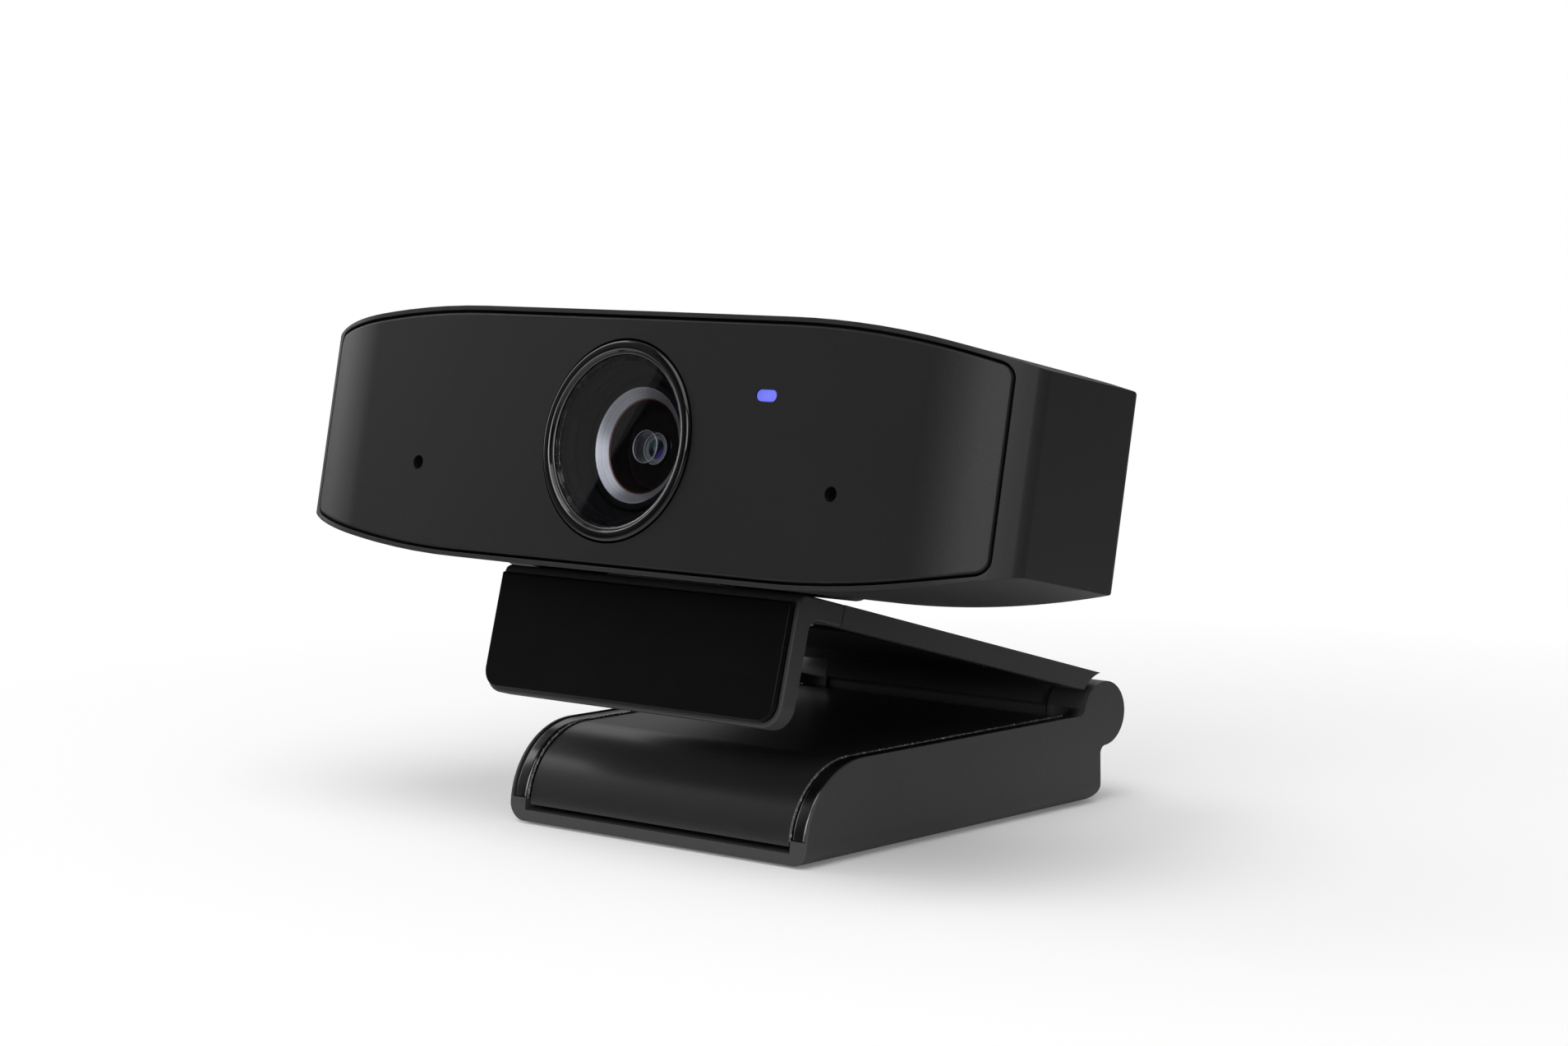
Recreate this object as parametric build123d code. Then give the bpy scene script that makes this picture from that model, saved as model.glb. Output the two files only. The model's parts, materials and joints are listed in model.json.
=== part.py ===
"""Webcam head on a folding clip stand, piece by piece. Millimetres, +Z up, the front faces -Y."""
from build123d import *
import os
from math import asin, atan2, cos, degrees, hypot, radians, sin, sqrt, tan

# Clearances
slide_fit = 0.05            # between pieces pushed together
pin_fit = 0.03              # radial, hinge pins in their bores
panel_gap = 0.25            # dark line round the front panel
joint_gap = 0.4             # side play between hinge knuckles
over = 1.0                  # cutters run this far past a face
near = 0.01                 # how close a point lies to what it is picked by

# Head, outer form
head_width = 105.4
head_height = 28.1
head_depth = 24.8
head_pitch = 12.5           # leans back, degrees
crown_flat = 46.0           # straight middle of the top and bottom edges
end_drop = 3.6              # how far the top edge falls at the ends
front_radius = 1200.0       # plan radius of the front's middle
end_radius = 20.0           # plan radius towards the ends
end_turn = 37.0             # degrees turned when the corner begins
corner_radius = 1.6
side_taper = 8.6            # sides draw in towards the back, degrees
belly_rise = 0.04           # underside rises towards the back, per mm
top_fall = 0.005            # top falls towards the back, per mm
front_lead = 1.0            # outline blocks start this far ahead of the front
wall = 1.6
back_round = 1.8

# Head, front panel
panel_rim = 0.5             # shell rim seen round the panel
panel_end = 2.6             # shell end beside the panel
panel_thick = 1.8
panel_corner = 1.6
panel_edge = 0.35
seat_ledge = 1.7            # shell ledge behind the panel's ends

# Head, lens
ring_width = 1.5
ring_proud = 0.3
ring_depth = 2.6
ring_groove = 0.2
window_thick = 0.9
window_set = 0.5            # window face behind the ring's rim
barrel_radius = 7.0
barrel_front = 3.4          # barrel face behind the panel's middle
bevel_radius = 6.5
bevel_depth = 1.0
bowl_radius = 5.1
bowl_depth = 2.6
bowl_floor_radius = 4.4
tube_wall = 0.25
tube_length = 2.0           # rises from the bowl's floor
element_radius = 1.7
element_dome = 0.3
element_set = 1.7           # rim behind the tube's front
element_thick = 1.6
barrel_stop = 1.2           # opening between the elements
rear_element_radius = 4.0
rear_element_thick = 1.2
rear_element_set = 0.4
shank_radius = 6.0
barrel_head = 5.2
barrel_room = 0.2           # shank short of the holder's stop
shroud_wall = 0.7
shroud_room = 0.25          # round the barrel's face
shroud_lap = 2.2            # length past the barrel's face
shroud_step = 0.6           # each step of its stair, in radius and depth
ring_flange = 1.3
flange_room = 0.3           # flange short of the cavity's roof
holder_size = 14.0
holder_length = 5.6
filter_size = 8.0
filter_thick = 0.4
filter_lift = 0.2           # over the sensor
filter_stop = 0.4
filter_ledge = 0.5          # stop's lap over the filter's edges
sensor_size = (7.4, 6.0, 0.8)

# Head, boards
board_thick = 1.0
sensor_board_size = (22.0, 19.0)
main_board_height = 18.0
board_side = 4.3            # main board's ends short of the posts
link_size = (10.0, 3.0)
link_height = 1.2
can_size = (16.0, 13.0)
can_height = 1.6
can_room = 0.6              # can short of the board screws' heads
socket_size = (8.94, 3.16)
socket_set = 0.2            # behind the back face
socket_skin = 0.35
socket_tongue = (6.26, 0.7)
socket_room = 0.15
socket_place = -4.0         # height of the socket on the back

# Head, microphones and light
mic_place = (31.0, -3.9)
mic_hole_radius = 0.8
mic_port_radius = 0.4
gasket_radius = 2.2
gasket_length = 1.2
mic_board_size = (6.0, 5.0)
mic_can_size = (3.5, 2.7, 1.0)
light_place = (20.6, 5.75)
light_length = 2.8
light_height = 1.25
light_set = 0.3
pipe_length = 3.6
pipe_flange = 0.5
led_size = (2.0, 1.6, 0.8)
led_board_size = (9.0, 5.0)
led_post_radius = 0.8

# Head, fasteners
post_inset = 5.7            # posts in from the panel's ends
post_rise = 5.6
post_radius = 2.1
boss_radius = 2.8
boss_length = 2.0
case_screw_radius = 0.9
case_screw_head = (1.9, 1.2)
case_screw_length = 8.0
case_screw_set = 2.0        # head seat in from the back face
screw_room = 0.2
standoff_radius = 1.9
board_screw_radius = 0.7
board_screw_head = (1.4, 0.7)
board_screw_length = 2.6
board_screw_inset = 4.0     # in from the main board's ends
board_screw_rise = 6.0

# Tilt hinge
pivot_depth = 12.5          # behind the head's front
pivot_below = 11.0          # below the lens axis
pivot_over_arm = 3.1
pivot_from_lip = 5.4
tilt_pin_radius = 1.0
knuckle_radius = 1.9
knuckle_width = 6.0
ear_thick = 3.0
ear_width = 4.0
washer_thick = 0.24
pocket_length = 8.4
pocket_roof = 8.4           # below the lens axis
pocket_side = 1.2           # room beside the ears
belly_recess = 12.0         # recess ceiling, below the lens axis
recess_front = 5.0
recess_side = 1.0           # room beside the arm
knuckle_plate = (7.6, 0.8)  # length and thickness
knuckle_screw_place = 2.85
washer_room = 0.3
pocket_wall = 1.0
neck_plate_width = 17.0
neck_plate_front = 2.4      # ahead of the pivot
neck_plate_back = 6.6
neck_plate_thick = 1.0
neck_screw_place = (6.0, 4.8)
neck_screw_set = 0.5        # head seat below the plate's top
small_screw_radius = 0.5
small_screw_head = (0.85, 0.4)
small_screw_cap = 0.3       # left over the screw's tip
drive_length = 1.3          # screw's cross slot, in head radii
drive_width = 0.3

# Arm and lip
arm_pitch = 15.9
arm_width = 44.7
arm_side = 0.15             # leg's sides out past the arm's
arm_thick = 2.4
arm_skin = 1.3              # top plate of the channel
arm_flange = 1.6
arm_over_hinge = 2.0        # underside above the hinge line
lip_ahead = 4.1             # lip's front ahead of the leg when folded
barrel_wall_radius = 3.4
arm_end_radius = 4.75
lip_drop = 12.0             # below the arm's underside
lip_thick = 3.0
lip_bend = 1.0
lip_inside_bend = 1.2
lip_corner = 2.6
lip_seam = 7.9              # bracket length behind the lip's front
lip_face_thick = 0.8
lip_face_margin = 0.5
lip_pad_thick = 0.9
lip_pad_proud = 0.4
lip_pad_margin = 4.0
lip_pad_height = 7.6
lip_pad_rise = 5.0          # pad's middle over the lip's lower edge
lip_face_edge = 0.3
arm_pad_size = (30.0, 24.0)
arm_pad_thick = 0.7
arm_pad_back = 26.0         # pad's middle, ahead of the hinge line
bracket_tongue = 5.0
tongue_thick = 0.55
arm_screw_place = 15.0
channel_end = 6.0           # channel stops ahead of the hinge line
arm_tail = 1.0              # web behind the hinge line

# Leg
leg_length = 50.2
leg_front_height = 10.85
leg_rear_height = 10.4
leg_front_rise = 1.4        # straight foot of the front, below the arc
leg_wall = 2.4
leg_floor = 1.3
leg_ground = 0.3            # tray above the table
tray_corner = 2.0
rear_corner = 1.8
notch_round = 0.9           # hollows where the knuckle meets the side
trim_thick = 1.0
trim_seam = 2.95            # height where the trim begins
cover_gap = 0.4             # groove between cover and trim
cover_set = 0.3             # cover below the trim
cover_thick = 1.4
strip_gap = 0.6             # dark line over the floor's edge
cover_end = 5.0             # cover stops ahead of the hinge line
rear_wall_height = 5.6
trim_round = 0.45
trim_lip = 0.4              # side wall's edge outside the trim
trim_low = 0.1              # trim's top below that edge
hinge_back = 0.8            # hinge line behind the leg's end
hinge_height = 10.25
knuckle_outer = 3.7
knuckle_length = 4.6
knuckle_skin = 0.9          # closed outer end of the pin's bore
knuckle_web = 3.0
hinge_pin_radius = 1.5
hinge_spring_length = 6.0   # between the pin's two halves
hinge_spring_bore = 0.9
foot_thick = 1.0
foot_margin = (3.5, 4.0)
foot_corner = 3.0
insert_radius = 4.2
insert_bore = 2.55
insert_depth = 5.0
insert_wall = 1.6
insert_place = 9.0          # behind the foot's middle
insert_room = 0.3
cover_screw_place = (14.5, 15.0)
cover_screw_radius = 0.9
cover_screw_head = (1.9, 0.9)
cover_screw_length = 5.5
cover_screw_seat = 2.2      # height of the head's seat
tip_room = 0.5              # hole past the screw's tip
cover_boss_radius = 2.2
tray_boss_radius = 3.0
tray_boss_top = 3.4

# Places worked out from the sizes
half_width = head_width / 2
panel_length = head_width - 2 * panel_end
half_height = head_height / 2
crown_half = crown_flat / 2
crown_radius = ((half_width - crown_half) ** 2 + end_drop ** 2) / (2 * end_drop)
back_inside = head_depth - wall
post_place = (panel_length / 2 - post_inset, post_rise)
board_length = 2 * (post_place[0] - post_radius - board_side)
board_screw_place = (board_length / 2 - board_screw_inset, board_screw_rise)
can_place = board_screw_place[0] - board_screw_head[0] - can_room - can_size[0] / 2
board_face = back_inside - boss_length
hinge_y = leg_length / 2 + hinge_back
arm_top = arm_over_hinge + arm_thick
leg_width = arm_width + 2 * arm_side
arm_reach = leg_length + hinge_back + lip_ahead
ARM = Pos(0, hinge_y, hinge_height) * Rot(X=-arm_pitch)
pivot_y = -arm_reach + pivot_from_lip
pivot_z = arm_top + pivot_over_arm
PIVOT = ARM * Pos(0, pivot_y, pivot_z)
HEAD = Pos(*PIVOT.position) * Rot(X=-head_pitch) * Pos(0, -pivot_depth, pivot_below)
GROUND = Pos(0, 0, 0)
FRONTWARD = Rot(X=90)       # turns +Z to -Y
BACKWARD = Rot(X=-90)       # turns +Z to +Y

pieces = {}


def keep(name, place, *solids):
    """Files solids under a node's name, set in the frame."""
    pieces[name] = [place * solid for solid in solids]


def box(size_x, size_y, size_z, x=0, y=0, z=0):
    """A block given by its sizes and its centre."""
    return Pos(x, y, z) * Box(size_x, size_y, size_z)


def rod(radius, start, end, x=0, z=0):
    """A round bar along Y."""
    return Pos(x, (start + end) / 2, z) * FRONTWARD * Cylinder(radius, end - start)


def cross_rod(radius, start, end, y=0, z=0):
    """A round bar along X."""
    return Pos((start + end) / 2, y, z) * Rot(Y=90) * Cylinder(radius, end - start)


def up_rod(radius, start, end, x=0, y=0):
    """A round bar along Z."""
    return Pos(x, y, (start + end) / 2) * Cylinder(radius, end - start)


def turned(*points):
    """A solid of revolution about Y, from (radius, y) points."""
    profile = make_face(Polyline(*[(radius, y, 0) for radius, y in points], close=True))
    return revolve(profile, Axis.Y)


def screw(shank_radius, head, length):
    """A pan-head screw pointing along -Z, its head's underside at the origin."""
    head_radius, head_height = head
    body = up_rod(head_radius, 0, head_height) + up_rod(shank_radius, -length, 0)
    slot = box(head_radius * drive_length, head_radius * drive_width, head_height, z=head_height)
    return body - slot - Rot(Z=90) * slot


def mirrored_pair(solid):
    """A solid and its twin across the middle plane."""
    return [solid, mirror(solid, Plane.YZ)]


# Head outline

def plan_point(centre, radius, turn):
    """A point of a plan arc, at a turn in degrees from straight ahead."""
    return (centre[0] + radius * sin(radians(turn)), centre[1] - radius * cos(radians(turn)))


def head_plan():
    """The head seen from above: flat front, rounding ends, sides that draw in."""
    corner_x = half_width - corner_radius * (1 - sin(radians(end_turn)))
    flat_x = (corner_x - end_radius * sin(radians(end_turn))) / (1 - end_radius / front_radius)
    flat_turn = degrees(atan2(flat_x, sqrt(front_radius ** 2 - flat_x ** 2)))
    end_centre = plan_point((0, front_radius), front_radius - end_radius, flat_turn)
    corner_centre = plan_point(end_centre, end_radius - corner_radius, end_turn)
    last_turn = 90 + side_taper
    flat_end = plan_point(end_centre, end_radius, flat_turn)
    end_middle = plan_point(end_centre, end_radius, (flat_turn + end_turn) / 2)
    end_end = plan_point(end_centre, end_radius, end_turn)
    corner_middle = plan_point(corner_centre, corner_radius, (end_turn + last_turn) / 2)
    corner_end = plan_point(corner_centre, corner_radius, last_turn)
    back_x = corner_end[0] - (head_depth - corner_end[1]) * tan(radians(side_taper))
    right = [
        ThreePointArc((0, 0), plan_point((0, front_radius), front_radius, flat_turn / 2), flat_end),
        ThreePointArc(flat_end, end_middle, end_end),
        ThreePointArc(end_end, corner_middle, corner_end),
        Line(corner_end, (back_x, head_depth)),
        Line((back_x, head_depth), (0, head_depth)),
    ]
    edges = Curve() + right + [mirror(edge, Plane.YZ) for edge in right]
    return make_face(edges), end_centre, flat_end, corner_end, back_x


PLAN, end_centre, flat_end, crease, back_half = head_plan()
TALL = head_height * 2


def behind_front(shift):
    """All of the head's plan that lies behind its front face, moved back by a shift."""
    return Pos(0, shift, -TALL / 2) * extrude(PLAN, TALL)


def crown_edge(inset, reach):
    """Height of the inset top edge at a distance from the middle."""
    radius = crown_radius - inset
    return half_height - crown_radius + sqrt(radius ** 2 - (reach - crown_half) ** 2)


def crown(inset, reach, depth):
    """Block under the arched top edge and over the arched bottom edge, from ahead of the front back."""
    top = half_height - inset
    side = crown_edge(inset, reach)
    middle = (crown_half + reach) / 2
    height = crown_edge(inset, middle)
    half = make_face(Curve() + [
        Line((-reach, 0), (-reach, side)),
        ThreePointArc((-reach, side), (-middle, height), (-crown_half, top)),
        Line((-crown_half, top), (crown_half, top)),
        ThreePointArc((crown_half, top), (middle, height), (reach, side)),
        Line((reach, side), (reach, 0)),
        Line((reach, 0), (-reach, 0)),
    ])
    length = depth + front_lead
    upper = slanted(Plane.XZ * half, length, -top_fall)
    lower = slanted(Plane.XZ * mirror(half, Plane.XZ), length, belly_rise)
    core = box(2 * reach, length, 2 * length * belly_rise + over, y=length / 2)
    return Pos(0, -front_lead) * (upper + lower + core)


def slanted(face, length, slope):
    """A face run back from ahead of the front, rising or falling by a slope, true to size at the front."""
    rise = length * slope
    return Pos(0, 0, -front_lead * slope) * extrude(face, hypot(length, rise), dir=(0, length, rise))


def head_solid():
    """The closed outer form of the head with its back edges rounded."""
    solid = crown(0, half_width + over, head_depth + over) & behind_front(0)
    back_edges = solid.edges().filter_by_position(Axis.Y, head_depth - near, head_depth + near)
    return fillet(back_edges, back_round)


def panel_block(gap):
    """The front panel's outline as a block, grown by a gap, with its rounded corners."""
    reach = panel_length / 2 + gap
    block = crown(panel_rim + panel_gap - gap, reach, 2 * crease[1])
    corners = [
        edge for edge in block.edges()
        if abs(abs(edge.center().X) - reach) < near and edge.length > crease[1]
        and abs(edge.center().Z) > half_height / 2
    ]
    return fillet(corners, panel_corner + gap)


def front_y(x):
    """How far the front face lies behind its middle."""
    if abs(x) < flat_end[0]:
        return front_radius - sqrt(front_radius ** 2 - x ** 2)
    return end_centre[1] - sqrt(end_radius ** 2 - (abs(x) - end_centre[0]) ** 2)


def pill(length, height, start, end, x=0, z=0):
    """A bar along Y with a round-ended section."""
    return Pos(x, start, z) * extrude(Plane.XZ * SlotOverall(length, height), start - end)


def corners(x, z):
    """The four places at plus and minus x and z."""
    return [(sx * x, sz * z) for sx in (-1, 1) for sz in (-1, 1)]


# Depths in the head, back from the front's middle
flange_radius = half_height - wall - flange_room
ring_radius = flange_radius - ring_flange
ring_inside = ring_radius - ring_width
window_front = window_set - ring_proud
window_back = window_front + window_thick
bowl_start = barrel_front + bevel_depth
bowl_end = bowl_start + bowl_depth
tube_front = bowl_end - tube_length
element_rim = tube_front + element_set
barrel_step = barrel_front + barrel_head
main_front = board_face - board_thick
sensor_face = main_front - link_height - board_thick
holder_start = sensor_face - holder_length
filter_back = sensor_face - sensor_size[2] - filter_lift
filter_front = filter_back - filter_thick
barrel_end = filter_front - filter_stop - barrel_room
pipe_end = light_set + pipe_length
led_board_face = pipe_end + led_size[2]
gasket_end = panel_thick + front_y(mic_place[0]) + gasket_length
screw_seat = head_depth - case_screw_set
cavity_half = min(panel_length / 2 - seat_ledge, back_half - wall / cos(radians(side_taper)))
recess_half = arm_width / 2 + recess_side
ear_inside = knuckle_width / 2 + washer_room
ear_outside = ear_inside + ear_thick
pocket_half = ear_outside + pocket_side


def head_cavity():
    """Room inside the head, left solid over the recess, round the pocket and at the bosses."""
    room = crown(wall, cavity_half, back_inside) & behind_front(panel_thick)
    floor_length = head_depth - recess_front + wall
    room -= box(2 * (recess_half + wall), floor_length, half_height - belly_recess + wall,
                y=head_depth - floor_length / 2, z=-(half_height + belly_recess - wall) / 2)
    room -= box(2 * (pocket_half + pocket_wall), pocket_length + 2 * pocket_wall,
                half_height - pocket_roof + pocket_wall,
                y=pivot_depth, z=-(half_height + pocket_roof - pocket_wall) / 2)
    for x, z in corners(*post_place):
        room -= rod(boss_radius, board_face, head_depth, x, z)
    for x, z in corners(*board_screw_place):
        room -= rod(standoff_radius, board_face, head_depth, x, z)
    return room


def rear_housing():
    """Back shell: thin front rim, rounded ends, underside recess and hinge pocket."""
    shell = head_solid() - (panel_block(panel_gap) - behind_front(panel_thick)) - head_cavity()
    recess_length = head_depth - recess_front
    shell -= box(2 * recess_half, recess_length + over, half_height - belly_recess + over,
                 y=recess_front + (recess_length + over) / 2, z=-(half_height + belly_recess + over) / 2)
    shell -= box(2 * pocket_half, pocket_length, half_height - pocket_roof,
                 y=pivot_depth, z=-(half_height + pocket_roof) / 2)
    for x, z in corners(*post_place):
        shell -= rod(case_screw_radius + screw_room, board_face - over, screw_seat + slide_fit, x, z)
        shell -= rod(case_screw_head[0] + screw_room, screw_seat, head_depth + over, x, z)
    for x, z in corners(*board_screw_place):
        shell -= rod(board_screw_radius + slide_fit, board_face - over, back_inside - slide_fit, x, z)
    for side in (-1, 1):
        place = Pos(0, pivot_depth + side * knuckle_screw_place, -pocket_roof)
        shell -= place * up_rod(small_screw_radius + slide_fit, -over, pocket_wall - small_screw_cap)
    shell -= pill(socket_size[0] + 2 * socket_room, socket_size[1] + 2 * socket_room,
                  back_inside - over, head_depth + over, z=socket_place)
    return shell


def on_rim(edge):
    """Tells the edges round the panel's front face, on its long sides and at its two ends."""
    middle = edge.center()
    if abs(abs(middle.X) - panel_length / 2) < near:
        return edge.length > panel_thick + panel_corner and middle.Y < front_y(panel_length / 2) + near
    return middle.Y < front_y(middle.X) + near and abs(middle.Z) > near


def front_panel():
    """Satin front plate with its openings, screw posts and light-board posts."""
    plate = panel_block(0) & (behind_front(0) - behind_front(panel_thick))
    plate = fillet([edge for edge in plate.edges() if on_rim(edge)], panel_edge)
    for x, z in corners(*post_place):
        post = rod(post_radius, front_y(x), board_face, x, z) & behind_front(panel_thick / 2)
        plate += post
        plate -= rod(case_screw_radius + slide_fit, board_face - case_screw_length, board_face + over, x, z)
    light_x, light_z = light_place
    for side in (-1, 1):
        x = light_x + side * (led_board_size[0] / 2 - led_post_radius)
        plate += rod(led_post_radius, panel_thick / 2, led_board_face, x, light_z)
    plate -= rod(ring_radius + ring_groove, -over, panel_thick + over)
    slot_length = light_length + 2 * slide_fit
    slot_height = light_height + 2 * slide_fit
    plate -= pill(slot_length, slot_height, -over, panel_thick + over, light_x, light_z)
    for side in (-1, 1):
        plate -= rod(mic_hole_radius, -over, panel_thick + over, side * mic_place[0], mic_place[1])
    return plate


def lens_ring():
    """Glossy ring round the window, held by a flange behind the panel."""
    nose = ring_width / 3
    ring = turned((ring_inside, window_front), (ring_inside + nose, -ring_proud),
                  (ring_radius - nose / 2, -ring_proud), (ring_radius, -ring_proud + nose / 2),
                  (ring_radius, ring_depth), (ring_inside, ring_depth))
    flange = rod(flange_radius, 0, ring_depth) - rod(ring_inside, -over, ring_depth + over)
    return ring + (flange & behind_front(panel_thick + slide_fit))


def lens_shroud():
    """Dark cone from the window back to the barrel, with a flange on the ring's back."""
    mouth = ring_inside - slide_fit
    throat = barrel_radius + shroud_room
    shroud_end = barrel_front + shroud_lap
    stair = mouth - shroud_wall
    landing = stair - shroud_step
    stair_end = window_back + shroud_step
    landing_start = stair_end + shroud_step
    landing_end = landing_start + shroud_step / 2
    return turned((stair, window_back), (mouth, window_back), (mouth, ring_depth),
                  (flange_radius, ring_depth), (flange_radius, ring_depth + shroud_wall),
                  (mouth, ring_depth + shroud_wall), (throat + shroud_wall, shroud_end),
                  (throat, shroud_end), (throat, barrel_front), (landing, landing_end),
                  (landing, landing_start), (stair, stair_end))


def lens_barrel():
    """Barrel with a bright bevel, a dark bowl, a small tube in it and seats for two elements."""
    seat = element_radius + slide_fit
    rear_seat = rear_element_radius + slide_fit
    rear_ledge = barrel_end - rear_element_thick - rear_element_set
    tube = seat + tube_wall
    seat_end = element_rim + element_thick
    return turned((bevel_radius, barrel_front), (barrel_radius, barrel_front), (barrel_radius, barrel_step),
                  (shank_radius, barrel_step), (shank_radius, barrel_end), (rear_seat, barrel_end),
                  (rear_seat, rear_ledge), (barrel_stop, rear_ledge), (barrel_stop, seat_end),
                  (seat, seat_end), (seat, tube_front), (tube, tube_front), (tube, bowl_end),
                  (bowl_floor_radius, bowl_end), (bowl_radius, bowl_start))


def front_element():
    """Domed glass in the bowl's tube."""
    sphere = (element_radius ** 2 + element_dome ** 2) / (2 * element_dome)
    base = rod(element_radius, element_rim, element_rim + element_thick)
    apex = element_rim - element_dome
    ball = Pos(0, apex + sphere, 0) * Sphere(sphere)
    return base + (ball & rod(element_radius, apex, element_rim + element_thick / 2))


def lens_holder():
    """Square mount with the barrel's bore, a square stop and the filter's pocket."""
    length = holder_length
    middle = holder_start + length / 2
    body = box(holder_size, length, holder_size, y=middle)
    body -= rod(shank_radius + slide_fit, holder_start - over, filter_front - filter_stop)
    body -= box(filter_size - 2 * filter_ledge, length, filter_size - 2 * filter_ledge, y=middle)
    pocket = filter_size + 2 * slide_fit
    return body - box(pocket, sensor_face - filter_front, pocket, y=(sensor_face + filter_front) / 2)


def microphone(side):
    """Small board with its sound port and metal can."""
    x, z = side * mic_place[0], mic_place[1]
    can_width, can_height, can_depth = mic_can_size
    board = box(mic_board_size[0], board_thick, mic_board_size[1], x, gasket_end + board_thick / 2, z)
    can = box(can_width, can_depth, can_height, x, gasket_end + board_thick + can_depth / 2, z)
    return board + can - rod(mic_port_radius, gasket_end - over, gasket_end + board_thick, x, z)


def mic_gasket(side):
    """Rubber sleeve between the panel and the microphone board."""
    x, z = side * mic_place[0], mic_place[1]
    sleeve = rod(gasket_radius, 0, gasket_end, x, z) & behind_front(panel_thick)
    return sleeve - rod(mic_hole_radius, 0, gasket_end + over, x, z)


def light_pipe():
    """Clear pill in the panel's slot, with a flange behind it."""
    x, z = light_place
    bar = pill(light_length, light_height, light_set, pipe_end, x, z)
    flange = pill(light_length + 2 * pipe_flange, light_height + 2 * pipe_flange, 0, pipe_end, x, z)
    return bar + (flange & behind_front(panel_thick))


def usb_socket():
    """Metal socket shell with its tongue, reaching the back wall."""
    length, height = socket_size
    shell = pill(length, height, board_face, head_depth - socket_set, z=socket_place)
    shell -= pill(length - 2 * socket_skin, height - 2 * socket_skin,
                  board_face + socket_skin, head_depth, z=socket_place)
    tongue_end = head_depth - socket_set - socket_skin
    return shell + box(socket_tongue[0], tongue_end - board_face, socket_tongue[1],
                       y=(tongue_end + board_face) / 2, z=socket_place)


def shield_can():
    """Pressed can on the main board."""
    return box(can_size[0], can_height, can_size[1], can_place, main_front - can_height / 2)


def tilt_knuckle():
    """The head's hinge half: plate against the pocket's roof, web and barrel."""
    plate_length, plate_thick = knuckle_plate
    body = box(knuckle_width, plate_length, plate_thick, y=pivot_depth, z=-pocket_roof - plate_thick / 2)
    web = pivot_below - pocket_roof
    body += box(knuckle_width, 2 * knuckle_radius, web, y=pivot_depth, z=-pocket_roof - web / 2)
    half = knuckle_width / 2
    body += cross_rod(knuckle_radius, -half, half, pivot_depth, -pivot_below)
    for side in (-1, 1):
        place = Pos(0, pivot_depth + side * knuckle_screw_place, -pocket_roof)
        body -= place * up_rod(small_screw_radius + slide_fit, -plate_thick - over, over)
    return body - cross_rod(tilt_pin_radius + pin_fit, -half - over, half + over, pivot_depth, -pivot_below)


def tilt_knuckle_screws():
    """Two screws up into the pocket's roof."""
    length = knuckle_plate[1] + pocket_wall - small_screw_cap
    body = Rot(X=180) * screw(small_screw_radius, small_screw_head, length)
    z = -pocket_roof - knuckle_plate[1]
    return [Pos(0, pivot_depth + side * knuckle_screw_place, z) * body for side in (-1, 1)]


def head_pieces():
    """Files every piece that tilts with the head."""
    keep("rear_housing", HEAD, rear_housing())
    keep("front_panel", HEAD, front_panel())
    keep("lens_ring", HEAD, lens_ring())
    keep("lens_window", HEAD, rod(ring_inside - slide_fit, window_front, window_back))
    keep("lens_shroud", HEAD, lens_shroud())
    keep("lens_barrel", HEAD, lens_barrel())
    keep("front_element", HEAD, front_element())
    rear_start = barrel_end - rear_element_thick - rear_element_set
    keep("rear_element", HEAD, rod(rear_element_radius, rear_start, rear_start + rear_element_thick))
    keep("lens_holder", HEAD, lens_holder())
    keep("ir_filter", HEAD, box(filter_size, filter_thick, filter_size, y=(filter_front + filter_back) / 2))
    sensor_width, sensor_height, sensor_depth = sensor_size
    keep("image_sensor", HEAD, box(sensor_width, sensor_depth, sensor_height,
                                   y=sensor_face - sensor_depth / 2))
    board_width, board_height = sensor_board_size
    keep("sensor_board", HEAD, box(board_width, board_thick, board_height, y=sensor_face + board_thick / 2))
    keep("board_link", HEAD, box(link_size[0], link_height, link_size[1], y=main_front - link_height / 2))
    main = box(board_length, board_thick, main_board_height, y=main_front + board_thick / 2)
    for x, z in corners(*board_screw_place):
        main -= rod(board_screw_radius + screw_room, main_front - over, board_face + over, x, z)
    keep("main_board", HEAD, main)
    keep("shield_can", HEAD, shield_can())
    keep("usb_socket", HEAD, usb_socket())
    for name, side in (("left", -1), ("right", 1)):
        keep("microphone_" + name, HEAD, microphone(side))
        keep("mic_gasket_" + name, HEAD, mic_gasket(side))
    light_x, light_z = light_place
    keep("light_pipe", HEAD, light_pipe())
    led_width, led_height, led_depth = led_size
    keep("led", HEAD, box(led_width, led_depth, led_height, light_x, pipe_end + led_depth / 2, light_z))
    keep("led_board", HEAD, box(led_board_size[0], board_thick, led_board_size[1],
                                light_x, led_board_face + board_thick / 2, light_z))
    case_screw = BACKWARD * screw(case_screw_radius, case_screw_head, case_screw_length)
    keep("case_screws", HEAD, *[Pos(x, screw_seat, z) * case_screw for x, z in corners(*post_place)])
    board_screw = FRONTWARD * screw(board_screw_radius, board_screw_head, board_screw_length)
    board_screws = [Pos(x, main_front, z) * board_screw for x, z in corners(*board_screw_place)]
    keep("board_screws", HEAD, *board_screws)
    keep("tilt_knuckle", HEAD, tilt_knuckle())
    keep("tilt_knuckle_screws", HEAD, *tilt_knuckle_screws())


# Arm, with its origin on the hinge line and -Y running forward along it

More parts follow.
